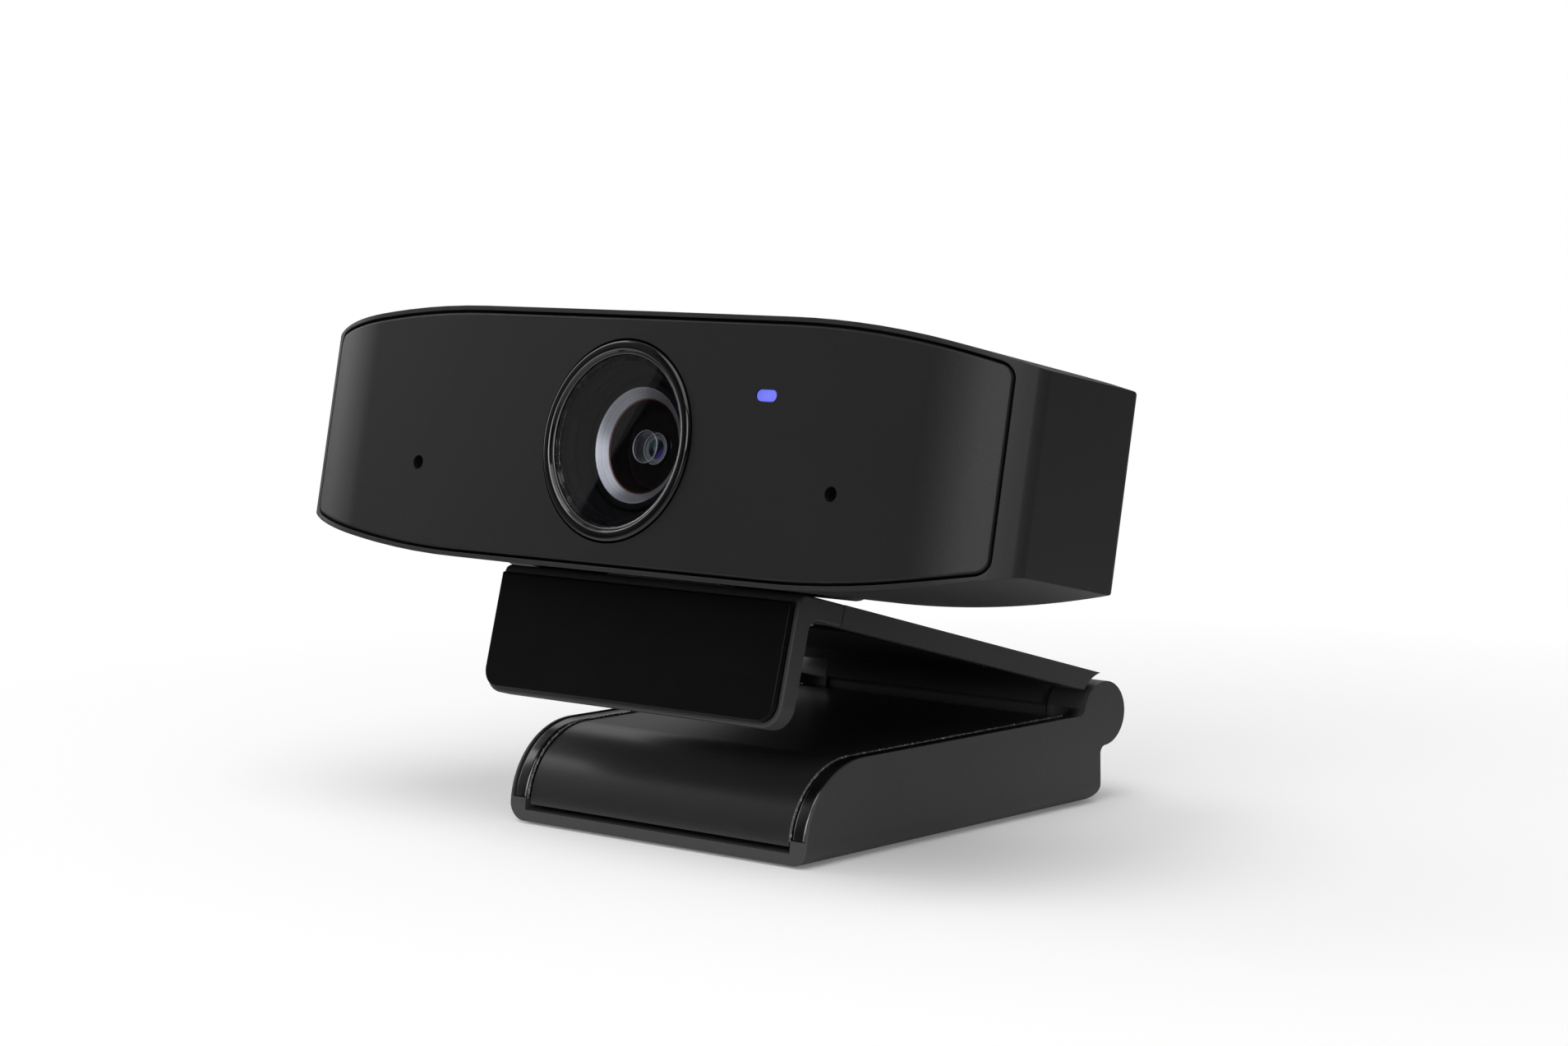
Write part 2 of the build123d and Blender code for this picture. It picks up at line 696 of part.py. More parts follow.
arm_seam = lip_seam - arm_reach
lip_rear = lip_thick - arm_reach
bracket_front = lip_face_thick - arm_reach
lip_bottom = arm_over_hinge - lip_drop
skin_under = arm_top - arm_skin
channel_half = arm_width / 2 - arm_flange
knuckle_start = leg_width / 2 - knuckle_skin - knuckle_length
barrel_half = knuckle_start - joint_gap
tongue_middle = arm_seam + bracket_tongue / 2
pad_room = lip_pad_thick - lip_pad_proud
pad_width = arm_width - 2 * lip_pad_margin
neck_screw_y = pivot_y + neck_screw_place[1]
neck_top = arm_top + neck_plate_thick


def span(width, start, end, low, high):
    """A block centred on the middle plane, from its Y and Z limits."""
    return box(width, end - start, high - low, 0, (start + end) / 2, (low + high) / 2)


def arm():
    """Channel-shaped top plate of the clip with the hinge barrel."""
    body = span(arm_width, arm_seam, 0, arm_over_hinge, arm_top)
    for side in (-1, 1):
        middle = side * (barrel_half + arm_width) / 2
        body -= cross_rod(arm_end_radius, middle - arm_width / 2, middle + arm_width / 2)
    body += span(2 * barrel_half, -barrel_wall_radius - arm_tail, arm_tail, 0, arm_top)
    body += cross_rod(barrel_wall_radius, -barrel_half, barrel_half)
    body -= span(2 * channel_half, arm_seam - over, -channel_end, arm_over_hinge - over, skin_under)
    for side in (-1, 1):
        body -= up_rod(small_screw_radius + slide_fit, skin_under - over, arm_top - small_screw_cap,
                       side * arm_screw_place, tongue_middle)
        body -= up_rod(small_screw_radius + slide_fit, skin_under + small_screw_cap, arm_top + over,
                       side * neck_screw_place[0], neck_screw_y)
    return body - cross_rod(hinge_pin_radius + pin_fit, -arm_width, arm_width)


def lip_bracket():
    """Bent front lip with a tongue under the arm's plate."""
    body = span(arm_width, bracket_front, lip_rear, lip_bottom, arm_top)
    body += span(arm_width, bracket_front, arm_seam, arm_over_hinge, arm_top)
    across = body.edges().filter_by(Axis.X)
    body = fillet(across.group_by(Axis.Y)[0].sort_by(Axis.Z)[-1], lip_bend)
    inner = [edge for edge in body.edges().filter_by(Axis.X)
             if abs(edge.center().Y - lip_rear) < near and abs(edge.center().Z - arm_over_hinge) < near]
    body = fillet(inner, lip_inside_bend)
    lower = body.edges().filter_by(Axis.Y).group_by(Axis.Z)[0]
    body = fillet(lower, lip_corner)
    tongue_low = skin_under - slide_fit - tongue_thick
    body += span(2 * (channel_half - slide_fit), arm_seam - over, arm_seam + bracket_tongue,
                 tongue_low, skin_under - slide_fit)
    body -= span(pad_width + 2 * slide_fit, lip_rear - pad_room, lip_rear + over,
                 lip_bottom + lip_pad_rise - lip_pad_height / 2 - slide_fit,
                 lip_bottom + lip_pad_rise + lip_pad_height / 2 + slide_fit)
    for side in (-1, 1):
        body -= up_rod(small_screw_radius + screw_room, tongue_low - over, skin_under,
                       side * arm_screw_place, tongue_middle)
    return body


def lip_face():
    """Smooth insert on the lip's front."""
    body = span(arm_width - 2 * lip_face_margin, -arm_reach, bracket_front,
                lip_bottom + lip_face_margin, arm_top - lip_bend)
    body = fillet(body.edges().filter_by(Axis.Y).group_by(Axis.Z)[0], lip_corner - lip_face_margin)
    return fillet(body.faces().sort_by(Axis.Y)[0].edges(), lip_face_edge)


def lip_pad():
    """Rubber pad on the lip's inner face."""
    middle = lip_bottom + lip_pad_rise
    return span(pad_width, lip_rear - pad_room, lip_rear + lip_pad_proud,
                middle - lip_pad_height / 2, middle + lip_pad_height / 2)


def arm_pad():
    """Rubber strip in the arm's channel."""
    width, length = arm_pad_size
    return span(width, -arm_pad_back - length / 2, -arm_pad_back + length / 2,
                skin_under - arm_pad_thick, skin_under)


def arm_screws():
    """Two screws up through the tongue into the arm's plate."""
    length = tongue_thick + arm_skin - small_screw_cap
    body = Rot(X=180) * screw(small_screw_radius, small_screw_head, length)
    z = skin_under - slide_fit - tongue_thick
    return [Pos(side * arm_screw_place, tongue_middle, z) * body for side in (-1, 1)]


def neck_bracket():
    """Plate on the arm with two ears for the tilt pin."""
    body = span(neck_plate_width, pivot_y - neck_plate_front, pivot_y + neck_plate_back, arm_top, neck_top)
    for side in (-1, 1):
        middle = side * (ear_inside + ear_outside) / 2
        ear = span(ear_thick, pivot_y - ear_width / 2, pivot_y + ear_width / 2, arm_top, pivot_z)
        body += Pos(middle) * ear
        body += cross_rod(ear_width / 2, middle - ear_thick / 2, middle + ear_thick / 2, pivot_y, pivot_z)
        x = side * neck_screw_place[0]
        body -= up_rod(small_screw_radius + screw_room, arm_top - over, neck_top + over, x, neck_screw_y)
        head_room = small_screw_head[0] + screw_room
        body -= up_rod(head_room, neck_top - neck_screw_set, neck_top + over, x, neck_screw_y)
    reach = ear_outside + over
    return body - cross_rod(tilt_pin_radius + pin_fit, -reach, reach, pivot_y, pivot_z)


def neck_screws():
    """Two screws down into the arm's plate."""
    seat = neck_top - neck_screw_set
    body = screw(small_screw_radius, small_screw_head, seat - skin_under - 2 * small_screw_cap)
    return [Pos(side * neck_screw_place[0], neck_screw_y, seat) * body for side in (-1, 1)]


def tilt_washers():
    """Thin rings between the head's knuckle and the ears."""
    middle = (knuckle_width / 2 + ear_inside) / 2
    ring = cross_rod(knuckle_radius, middle - washer_thick / 2, middle + washer_thick / 2, pivot_y, pivot_z)
    ring -= cross_rod(tilt_pin_radius + slide_fit, 0, ear_inside + over, pivot_y, pivot_z)
    return mirrored_pair(ring)


def arm_pieces():
    """Files every piece that folds with the arm."""
    keep("arm", ARM, arm())
    keep("lip_bracket", ARM, lip_bracket())
    keep("lip_face", ARM, lip_face())
    keep("lip_pad", ARM, lip_pad())
    keep("arm_pad", ARM, arm_pad())
    keep("arm_screws", ARM, *arm_screws())
    keep("neck_bracket", ARM, neck_bracket())
    keep("neck_screws", ARM, *neck_screws())
    keep("tilt_pin", ARM, cross_rod(tilt_pin_radius, -ear_outside, ear_outside, pivot_y, pivot_z))
    keep("tilt_washers", ARM, *tilt_washers())


# Leg, standing on the table with its middle over the origin

leg_half = leg_width / 2
leg_back = leg_length / 2
floor_top = leg_ground + leg_floor
inside_half = leg_half - leg_wall
cover_half = inside_half - cover_gap
knuckle_end = leg_half - knuckle_skin
roof_start = leg_front_height - leg_front_rise - leg_back
roof_fall = (leg_front_height - leg_rear_height) / (leg_back - roof_start)
cover_last = hinge_y - cover_end
trim_last = min(hinge_y - knuckle_outer - notch_round, leg_back - knuckle_web) - slide_fit
trim_width = leg_wall - trim_lip
insert_top = leg_ground + insert_depth + insert_wall / 2


def leg_slab(inset, lowest, last, half):
    """The leg's side outline, set in by an inset, as a block between minus and plus half in X."""
    radius = leg_front_height - leg_front_rise - inset
    turn = asin(max(lowest - leg_front_rise, 0) / radius)
    first = (roof_start - radius * cos(turn), leg_front_rise + radius * sin(turn))
    middle = (turn + radians(90)) / 2
    between = (roof_start - radius * cos(middle), leg_front_rise + radius * sin(middle))
    crest = (roof_start, leg_front_height - inset)
    corner = (last, leg_front_height - inset - roof_fall * (last - roof_start))
    outline = [
        ThreePointArc(first, between, crest),
        Line(crest, corner),
        Line(corner, (last, lowest)),
        Line((last, lowest), (first[0], lowest)),
    ]
    if first[1] - lowest > 0.001:
        outline.append(Line((first[0], lowest), first))
    return Pos(-half) * extrude(Plane.YZ * make_face(Curve() + outline), 2 * half)


def side_outline():
    """The leg's side seen from +X: curved front, sloping top and the knuckle's disc."""
    radius = leg_front_height - leg_front_rise
    middle = radians(45)
    between = (roof_start - radius * cos(middle), leg_front_rise + radius * sin(middle))
    side = make_face(Curve() + [
        Line((-leg_back, leg_ground), (-leg_back, leg_front_rise)),
        ThreePointArc((-leg_back, leg_front_rise), between, (roof_start, leg_front_height)),
        Line((roof_start, leg_front_height), (leg_back, leg_rear_height)),
        Line((leg_back, leg_rear_height), (leg_back, leg_ground)),
        Line((leg_back, leg_ground), (-leg_back, leg_ground)),
    ])
    side = fillet(side.vertices().group_by(Axis.Y)[0].sort_by(Axis.X)[-1], rear_corner)
    side += Pos(hinge_y, hinge_height) * Circle(knuckle_outer)
    hollows = [
        point for point in side.vertices()
        if point.X < hinge_y
        and abs(hypot(point.X - hinge_y, point.Y - hinge_height) - knuckle_outer) < near
    ]
    return fillet(hollows, notch_round)


def front_outline(high):
    """The leg seen from the front: straight sides and rounded lower corners."""
    face = Pos(0, (leg_ground + high) / 2) * Rectangle(leg_width, high - leg_ground)
    return fillet(face.vertices().group_by(Axis.Y)[0], tray_corner)


def leg_tray():
    """Floor, side walls with their knuckles, and rear wall."""
    high = leg_front_height + knuckle_outer
    shape = Pos(-leg_half) * extrude(Plane.YZ * side_outline(), leg_width)
    shape &= extrude(Plane.XZ * front_outline(high), leg_length, both=True)
    shape -= span(2 * inside_half, -leg_back - over, leg_back - leg_wall, floor_top, high)
    shape -= span(2 * inside_half, leg_back - leg_wall - over, hinge_y + leg_length, rear_wall_height, high)
    for side in (-1, 1):
        start = min(side * knuckle_start, side * knuckle_end)
        end = max(side * knuckle_start, side * knuckle_end)
        web = span(end - start, leg_back - knuckle_web, leg_back, leg_ground + leg_floor / 2, hinge_height)
        shape += Pos((start + end) / 2) * web
        shape += cross_rod(knuckle_outer, start, end, hinge_y, hinge_height)
        rabbet = span(trim_width + slide_fit, -leg_back - over, trim_last + slide_fit, trim_seam, high)
        rabbet = Pos(side * (inside_half + (trim_width + slide_fit) / 2)) * rabbet
        shape -= rabbet - leg_slab(trim_thick + trim_low, leg_ground, leg_back, leg_half)
    shape -= cross_rod(hinge_pin_radius + slide_fit, -knuckle_end, knuckle_end, hinge_y, hinge_height)
    shape += up_rod(insert_radius + insert_wall, floor_top - leg_floor / 4, insert_top, 0, insert_place)
    for x, y in corners(*cover_screw_place):
        shape += up_rod(tray_boss_radius, floor_top - leg_floor / 4, tray_boss_top, x, y)
    shape -= foot_block(slide_fit)
    shape -= up_rod(insert_radius + slide_fit, 0, insert_top + over, 0, insert_place)
    for x, y in corners(*cover_screw_place):
        shape -= up_rod(cover_screw_head[0] + screw_room, 0, cover_screw_seat, x, y)
        shape -= up_rod(cover_screw_radius + screw_room, 0, tray_boss_top + over, x, y)
    return shape


def foot_block(gap):
    """The foot pad's outline as a block, grown by a gap at its sides."""
    width = leg_width - 2 * foot_margin[0] + 2 * gap
    length = leg_length - 2 * foot_margin[1] + 2 * gap
    return extrude(RectangleRounded(width, length, foot_corner), foot_thick)


def leg_cover():
    """Curved top cover with a rear wall and screw bosses."""
    full = leg_slab(cover_set, floor_top + strip_gap, cover_last, cover_half)
    inner = leg_slab(cover_set + cover_thick, floor_top + strip_gap, cover_last - cover_thick, cover_half)
    body = full - inner
    hole_end = cover_screw_seat + cover_screw_length + tip_room
    boss_top = leg_rear_height - cover_set - cover_thick / 2
    for x, y in corners(*cover_screw_place):
        body += up_rod(cover_boss_radius, tray_boss_top, boss_top, x, y)
        body -= up_rod(cover_screw_radius + slide_fit, 0, hole_end, x, y)
    return body


def cover_trim():
    """Two beads along the tops of the leg's side walls."""
    full = leg_slab(trim_low, trim_seam, trim_last, leg_half)
    band = full - leg_slab(trim_low + trim_thick, trim_seam - over, trim_last + over, leg_half + over)
    strip = span(trim_width, -leg_length, leg_length, 0, leg_length)
    bead = band & Pos(inside_half + trim_width / 2) * strip
    crest = [edge for edge in bead.edges()
             if edge.length > 2 * trim_width and edge.center().Z > edge_height(edge.center().Y)]
    return mirrored_pair(fillet(crest, trim_round))


def edge_height(y):
    """Height that parts a bead's outer edges from its inner ones."""
    middle = trim_low + trim_thick / 2
    if y > roof_start:
        return leg_front_height - roof_fall * (y - roof_start) - middle
    radius = leg_front_height - leg_front_rise - middle
    return leg_front_rise + sqrt(max(radius ** 2 - (roof_start - y) ** 2, 0))


def hinge_pin():
    """Two half pins in the arm's barrel, pushed out into the knuckles' closed bores."""
    start = hinge_spring_length / 2
    end = knuckle_end - slide_fit
    return mirrored_pair(cross_rod(hinge_pin_radius, start, end, hinge_y, hinge_height))


def hinge_spring():
    """Plain sleeve in the place of the spring that pushes the half pins apart."""
    half = hinge_spring_length / 2
    sleeve = cross_rod(hinge_pin_radius, -half, half, hinge_y, hinge_height)
    return sleeve - cross_rod(hinge_spring_bore, -half - over, half + over, hinge_y, hinge_height)


def hinge_washer():
    """Thin ring between the arm's barrel and a knuckle."""
    middle = (barrel_half + knuckle_start) / 2
    half = (joint_gap - 2 * slide_fit) / 2
    ring = cross_rod(barrel_wall_radius, middle - half, middle + half, hinge_y, hinge_height)
    return ring - cross_rod(hinge_pin_radius + slide_fit, 0, leg_half, hinge_y, hinge_height)


def tripod_insert():
    """Threaded metal insert, shown by its bore."""
    body = up_rod(insert_radius, leg_ground, insert_top, 0, insert_place)
    return body - up_rod(insert_bore, 0, leg_ground + insert_depth, 0, insert_place)


def leg_pieces():
    """Files every piece that stands on the table."""
    keep("leg_tray", GROUND, leg_tray())
    keep("leg_cover", GROUND, leg_cover())
    keep("cover_trim", GROUND, *cover_trim())
    keep("hinge_pin", GROUND, *hinge_pin())
    keep("hinge_spring", GROUND, hinge_spring())
    keep("hinge_washers", GROUND, *mirrored_pair(hinge_washer()))
    hole = up_rod(insert_radius + insert_room, -over, foot_thick + over, 0, insert_place)
    keep("foot_pad", GROUND, foot_block(0) - hole)
    keep("tripod_insert", GROUND, tripod_insert())
    cover_screw = Rot(X=180) * screw(cover_screw_radius, cover_screw_head, cover_screw_length)
    places = [Pos(x, y, cover_screw_seat) for x, y in corners(*cover_screw_place)]
    keep("cover_screws", GROUND, *[place * cover_screw for place in places])


head_pieces()
arm_pieces()
leg_pieces()

os.makedirs("parts", exist_ok=True)
for name, solids in pieces.items():
    shape = solids[0] if len(solids) == 1 else Compound(children=solids)
    export_step(shape, os.path.join("parts", name + ".step"))
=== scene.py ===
"""Webcam on a folding clip stand: its visible pieces, finishes and studio, in the frame's metres."""
import json
from functools import cache
from math import asin, cos, pi, radians, sin

import bmesh
import bpy
from bpy.props import FloatProperty, FloatVectorProperty, IntProperty, PointerProperty
from bpy.types import Operator, Panel, PropertyGroup
from mathutils import Matrix, Vector
from mathutils.bvhtree import BVHTree


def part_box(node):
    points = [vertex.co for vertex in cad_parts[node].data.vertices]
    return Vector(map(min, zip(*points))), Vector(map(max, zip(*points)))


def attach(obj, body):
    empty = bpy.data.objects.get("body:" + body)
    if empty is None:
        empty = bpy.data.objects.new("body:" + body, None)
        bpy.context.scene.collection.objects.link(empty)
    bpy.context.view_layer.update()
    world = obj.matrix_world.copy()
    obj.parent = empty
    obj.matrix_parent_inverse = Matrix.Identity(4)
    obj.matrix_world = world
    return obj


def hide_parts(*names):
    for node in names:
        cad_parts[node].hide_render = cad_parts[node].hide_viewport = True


bl_info = {
    "name": "Webcam on a clip stand",
    "version": (1, 0, 0),
    "blender": (4, 5, 0),
    "location": "3D View > Sidebar > Webcam",
    "description": "Builds the pieces, finishes and studio of a webcam on a folding clip stand",
    "category": "Object",
}

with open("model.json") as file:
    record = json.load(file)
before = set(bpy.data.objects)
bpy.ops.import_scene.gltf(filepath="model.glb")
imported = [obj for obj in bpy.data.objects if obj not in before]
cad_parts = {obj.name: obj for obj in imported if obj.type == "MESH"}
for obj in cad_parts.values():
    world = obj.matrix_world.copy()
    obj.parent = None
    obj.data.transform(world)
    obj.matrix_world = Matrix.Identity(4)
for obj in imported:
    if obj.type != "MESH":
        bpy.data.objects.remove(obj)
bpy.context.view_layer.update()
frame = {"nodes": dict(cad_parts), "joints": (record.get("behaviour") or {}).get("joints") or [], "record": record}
MM = 0.001
PIVOTS = {joint["name"]: Vector(joint["pos_m"]) for joint in frame["joints"]}

# Place of the head, and of what is built in the frame itself
HEAD_LEAN = radians(-12.5)
LENS_FROM_PIVOT = Vector((0, -12.5, 11.0)) * MM
HEAD = (Matrix.Translation(PIVOTS["head_tilt"]) @ Matrix.Rotation(HEAD_LEAN, 4, "X")
        @ Matrix.Translation(LENS_FROM_PIVOT))
AS_BUILT = Matrix.Identity(4)

# Leg outline, seen from its side
LEG_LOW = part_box("leg_tray")[0]
COVER_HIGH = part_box("leg_cover")[1]
TRIM_LOW, TRIM_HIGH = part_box("cover_trim")
LEG_FOOT_RISE = 1.4 * MM
LEG_FRONT_HEIGHT = 10.85 * MM
LEG_REAR_HEIGHT = 10.4 * MM
LEG_LENGTH = 50.2 * MM
LEG_ARC_STEPS = 28

# Picture and studio
PICTURE = (1908, 1273)
SENSOR = 36.0
VEIL_EDGE = ((803.6, 447.4), (701.2, 629.2))
VEIL_DISTANCE = 0.6
VEIL_SIZE = (0.35, 0.7)
CLIP_START = 0.01
FLOOR_RADIUS = 4.0
FLOOR_SEGMENTS = 96
FLOOR_FADE = (0.05, 0.17)
BEHIND_SPAN = (-0.25, 0.45)
HEIGHT_SPAN = (0.1, 0.6)
LAMP_TARGET = (0, 0, 0.03)
LAMPS = {
    "overhead": ("overhead", (0.22, -0.30, 0.90), 0.9),
    "left_side": ("side", (-0.80, -0.05, 0.40), 0.7),
    "front_fill": ("fill", (0.12, -0.85, 0.25), 0.5),
    "front_right": ("front", (0.34, -0.78, 0.42), 0.4),
}


# Settings that a user would change

def length(name, description, default):
    """A length in metres, written in millimetres."""
    return FloatProperty(name=name, description=description, default=default * MM, unit="LENGTH", precision=5)


def colour(name, description, default):
    """A linear colour."""
    return FloatVectorProperty(
        name=name, description=description, default=default, subtype="COLOR", min=0, max=1)


def direction(name, description, default):
    """A direction in the frame."""
    return FloatVectorProperty(name=name, description=description, default=default, subtype="DIRECTION")


def level(name, description, default, unit="NONE"):
    """A plain number."""
    return FloatProperty(name=name, description=description, default=default, unit=unit)


class WebcamEdges(PropertyGroup):
    """Softened edges of the moulded pieces."""

    shell: length("Shell", "Rounding of the back shell's edges", 0.22)
    panel: length("Panel", "Rounding of the front panel's openings", 0.1)
    arm: length("Arm", "Rounding of the arm's edges", 0.18)
    lip: length("Lip", "Rounding of the lip's edges", 0.25)
    leg: length("Leg", "Rounding of the leg's edges", 0.16)
    metal: length("Metal", "Rounding of the metal fittings' edges", 0.08)
    steps: IntProperty(name="Steps", description="Facets across a rounding", default=3, min=1, max=6)


class WebcamLens(PropertyGroup):
    """Sizes of the lens, as radii and as depths behind the panel's middle."""

    ring_radius: length("Ring", "Outside of the glossy ring", 10.85)
    ring_width: length("Ring width", "Ring from its outside to the window", 1.5)
    ring_proud: length("Ring crest", "Ring in front of the panel", 0.3)
    ring_depth: length("Ring depth", "Back of the ring", 2.6)
    window_front: length("Window", "Front of the window", 0.2)
    window_thick: length("Window thickness", "Thickness of the window", 0.9)
    stair_step: length("Stair step", "Step of the dark stair behind the window", 0.6)
    stair_wall: length("Stair wall", "Wall of the dark stair", 0.7)
    barrel_radius: length("Barrel", "Outside of the barrel", 7.0)
    barrel_front: length("Barrel face", "Front of the barrel", 3.75)
    barrel_step: length("Barrel shoulder", "Back of the barrel's head", 8.6)
    shank_radius: length("Shank", "Threaded shank of the barrel", 6.0)
    bevel_radius: length("Bevel", "Outside of the bright bevel", 6.3)
    bevel_depth: length("Bevel depth", "Depth of the bright bevel", 1.0)
    bowl_radius: length("Bowl", "Mouth of the bowl", 5.1)
    bowl_floor: length("Bowl floor", "Radius of the bowl's floor", 4.4)
    bowl_depth: length("Bowl depth", "Depth of the bowl", 2.35)
    cap_radius: length("Cap", "Radius of the clear cap in the bowl", 1.8)
    cap_wall: length("Cap wall", "Wall of the clear cap", 0.15)
    cap_length: length("Cap length", "Clear cap from the bowl's floor", 2.15)
    element_radius: length("Element", "Radius of the inner element's rim", 1.7)
    rim_width: length("Rim width", "Width of the inner element's grey rim", 0.18)
    pupil_radius: length("Pupil", "Radius of the dark middle", 1.05)
    dish_depth: length("Dish depth", "Pupil behind the inner element's rim", 0.25)
    steps: IntProperty(name="Facets", description="Facets round the lens axis", default=160, min=48, max=256)


class WebcamHinge(PropertyGroup):
    """Sizes of the round shoulders about the tilt axis."""

    shoulder_radius: length("Shoulder", "Radius of the shoulders under the head", 2.85)
    shoulder_edge: length("Shoulder edge", "Rounding of the shoulders' ends", 0.5)
    shoulder_reach: length("Shoulder reach", "Shoulders' ends beyond the arm's sides", 3.6)
    room: length("Room", "Gap beside the neck", 0.3)
    steps: IntProperty(name="Facets", description="Facets round the tilt axis", default=64, min=24, max=128)


class WebcamTrim(PropertyGroup):
    """Sizes of the leg's edge beads and of the rough groove beside them."""

    bead_crown: length("Bead crown", "Rounding along the bead's two edges", 0.45)
    bead_depth: length("Bead depth", "Thickness of the bead", 1.0)
    bead_low: length("Bead set", "Bead's crest below the side wall's edge", 0.1)
    groove_set: length("Groove", "Groove floor below the leg's outline", 0.22)
    ridge_pitch: length("Ridge pitch", "From one ridge of the groove to the next", 0.22)
    ridge_height: length("Ridge height", "Height of the groove's ridges", 0.2)
    seed: IntProperty(name="Seed", description="Order of the uneven ridges", default=7)


class WebcamFinish(PropertyGroup):
    """Colours of the finishes."""

    panel: colour("Panel", "Satin front panel", (0.0062, 0.0060, 0.0066))
    shell: colour("Shell", "Satin back shell", (0.0235, 0.0229, 0.0231))
    clip: colour("Clip", "Arm and lip", (0.0480, 0.0471, 0.0468))
    leg: colour("Leg", "Satin leg", (0.0500, 0.0489, 0.0486))
    cover: colour("Cover", "Curved cover of the leg", (0.0190, 0.0187, 0.0190))
    sparkle: colour("Sparkle", "Rough strip beside the bead", (0.1000, 0.0980, 0.1000))
    gloss: colour("Gloss", "Polished black", (0.0040, 0.0040, 0.0043))
    liner: colour("Liner", "Dull black behind the window", (0.0030, 0.0029, 0.0030))
    bevel: colour("Bevel", "Bright bevel of the barrel", (0.4300, 0.4200, 0.4300))
    bowl: colour("Bowl", "Dark bowl of the barrel", (0.0040, 0.0024, 0.0023))
    # Colour of the painted purple glint at the inner element's lower right, standing in for a reflection on the
    # lens.
    painted_purple_glint: colour("Coating", "Coating on the inner element", (0.0900, 0.0500, 0.2600))
    light: colour("Light", "Status light", (0.1450, 0.1600, 0.7600))
    rubber: colour("Rubber", "Pads and foot", (0.0045, 0.0045, 0.0045))
    steel: colour("Steel", "Pins, screws and hinge plates", (0.4700, 0.4700, 0.4800))
    tin: colour("Tin", "Socket and shield", (0.6200, 0.6200, 0.6300))
    brass: colour("Brass", "Threaded insert", (0.7000, 0.5200, 0.2300))
    board: colour("Board", "Circuit boards", (0.0150, 0.1100, 0.0450))
    chip: colour("Chip", "Image sensor", (0.0300, 0.0300, 0.0550))


class WebcamStudio(PropertyGroup):
    """Camera, lamps and floor."""

    camera_place: FloatVectorProperty(
        name="Camera", description="Place of the camera", default=(0.28117, -0.30926, 0.07895),
        subtype="TRANSLATION", precision=5)
    camera_right: direction("Right", "Direction to the picture's right", (0.73718, 0.67556, -0.01360))
    camera_back: direction("Back", "Direction from the object to the camera", (0.67268, -0.73183, 0.10917))
    lens: level("Lens", "Focal length on a sensor 36 mm wide", 85.7, "CAMERA")
    floor: colour("Floor", "Pale floor", (0.92, 0.92, 0.92))
    floor_lift: level("Floor lift", "White added to the floor in view", 0.14)
    floor_near: level("Near floor", "White added to the floor in mirrors", 0.04)
    floor_far: level("Far floor", "Mirrored white of the floor further off", 0.25)
    room: level("Room", "Even light of the room", 0.20)
    overhead: level("Overhead", "Overhead lamp", 5.4, "POWER")
    side: level("Side", "Lamp at the left", 2.8, "POWER")
    front: level("Front", "Lamp in front, at the right", 2.0, "POWER")
    fill: level("Fill", "Dim lamp straight in front", 1.4, "POWER")
    veil: level("Veil", "Brightness of the card that the window mirrors", 0.17)
    front_tone: level("Front tone", "Brightness of the room in front", 0.05)
    low_tone: level("Low tone", "Share of the room's white near the horizon", 0.05)


SETTINGS = {
    "webcam_edges": WebcamEdges,
    "webcam_lens": WebcamLens,
    "webcam_hinge": WebcamHinge,
    "webcam_trim": WebcamTrim,
    "webcam_finish": WebcamFinish,
    "webcam_studio": WebcamStudio,
}


# Mesh helpers

SHARP = radians(38)
FLAT = radians(0.4)
MERGE = 0.0005 * MM
ON_OUTSIDE = 0.02 * MM


def linked(name, data):
    """A new object in the scene."""
    made = bpy.data.objects.new(name, data)
    bpy.context.scene.collection.objects.link(made)
    return made


def dressed(name, mesh, materials, body, replaced=()):
    """Makes a mesh a finished piece: shaded, given its materials and set on its body."""
    piece = linked(name, mesh)
    for material in materials:
        mesh.materials.append(material)
    mesh.shade_smooth()
    mesh.set_sharp_from_angle(angle=SHARP)
    even = piece.modifiers.new("even_shading", "WEIGHTED_NORMAL")
    even.keep_sharp = True
    baked = bpy.data.meshes.new_from_object(piece.evaluated_get(bpy.context.evaluated_depsgraph_get()))
    piece.modifiers.clear()
    piece.data = baked
    baked.name = name
    bpy.data.meshes.remove(mesh)
    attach(piece, body)
    if replaced:
        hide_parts(*replaced)
    return piece


def mesh_from(bm, name, place=AS_BUILT):
    """Ends a bmesh as a mesh, set in the frame, with its faces outwards."""
    bmesh.ops.remove_doubles(bm, verts=bm.verts, dist=MERGE)
    bmesh.ops.recalc_face_normals(bm, faces=bm.faces)
    bmesh.ops.transform(bm, matrix=place, verts=bm.verts)
    mesh = bpy.data.meshes.new(name)
    bm.to_mesh(mesh)
    bm.free()
    return mesh


def merged_copy(node):
    """A bmesh of a node's solids, joined up and with flat faces made whole."""
    bm = bmesh.new()
    bm.from_mesh(frame["nodes"][node].data)
    bmesh.ops.remove_doubles(bm, verts=bm.verts, dist=MERGE)
    bmesh.ops.dissolve_limit(bm, angle_limit=FLAT, verts=bm.verts, edges=bm.edges)
    return bm


def outside_edges(bm):
    """Sharp edges that lie on the outside of a shape, all their length."""
    hull = bm.copy()
    found = bmesh.ops.convex_hull(hull, input=hull.verts)
    inner = found["geom_interior"] + found["geom_unused"]
    spare = [item for item in inner if isinstance(item, bmesh.types.BMVert)]
    bmesh.ops.delete(hull, geom=spare, context="VERTS")
    skin = BVHTree.FromBMesh(hull)
    outside = {vert for vert in bm.verts if skin.find_nearest(vert.co)[3] < ON_OUTSIDE}
    hull.free()
    return [
        edge for edge in bm.edges
        if len(edge.link_faces) == 2 and edge.calc_face_angle() > SHARP
        and edge.verts[0] in outside and edge.verts[1] in outside
    ]


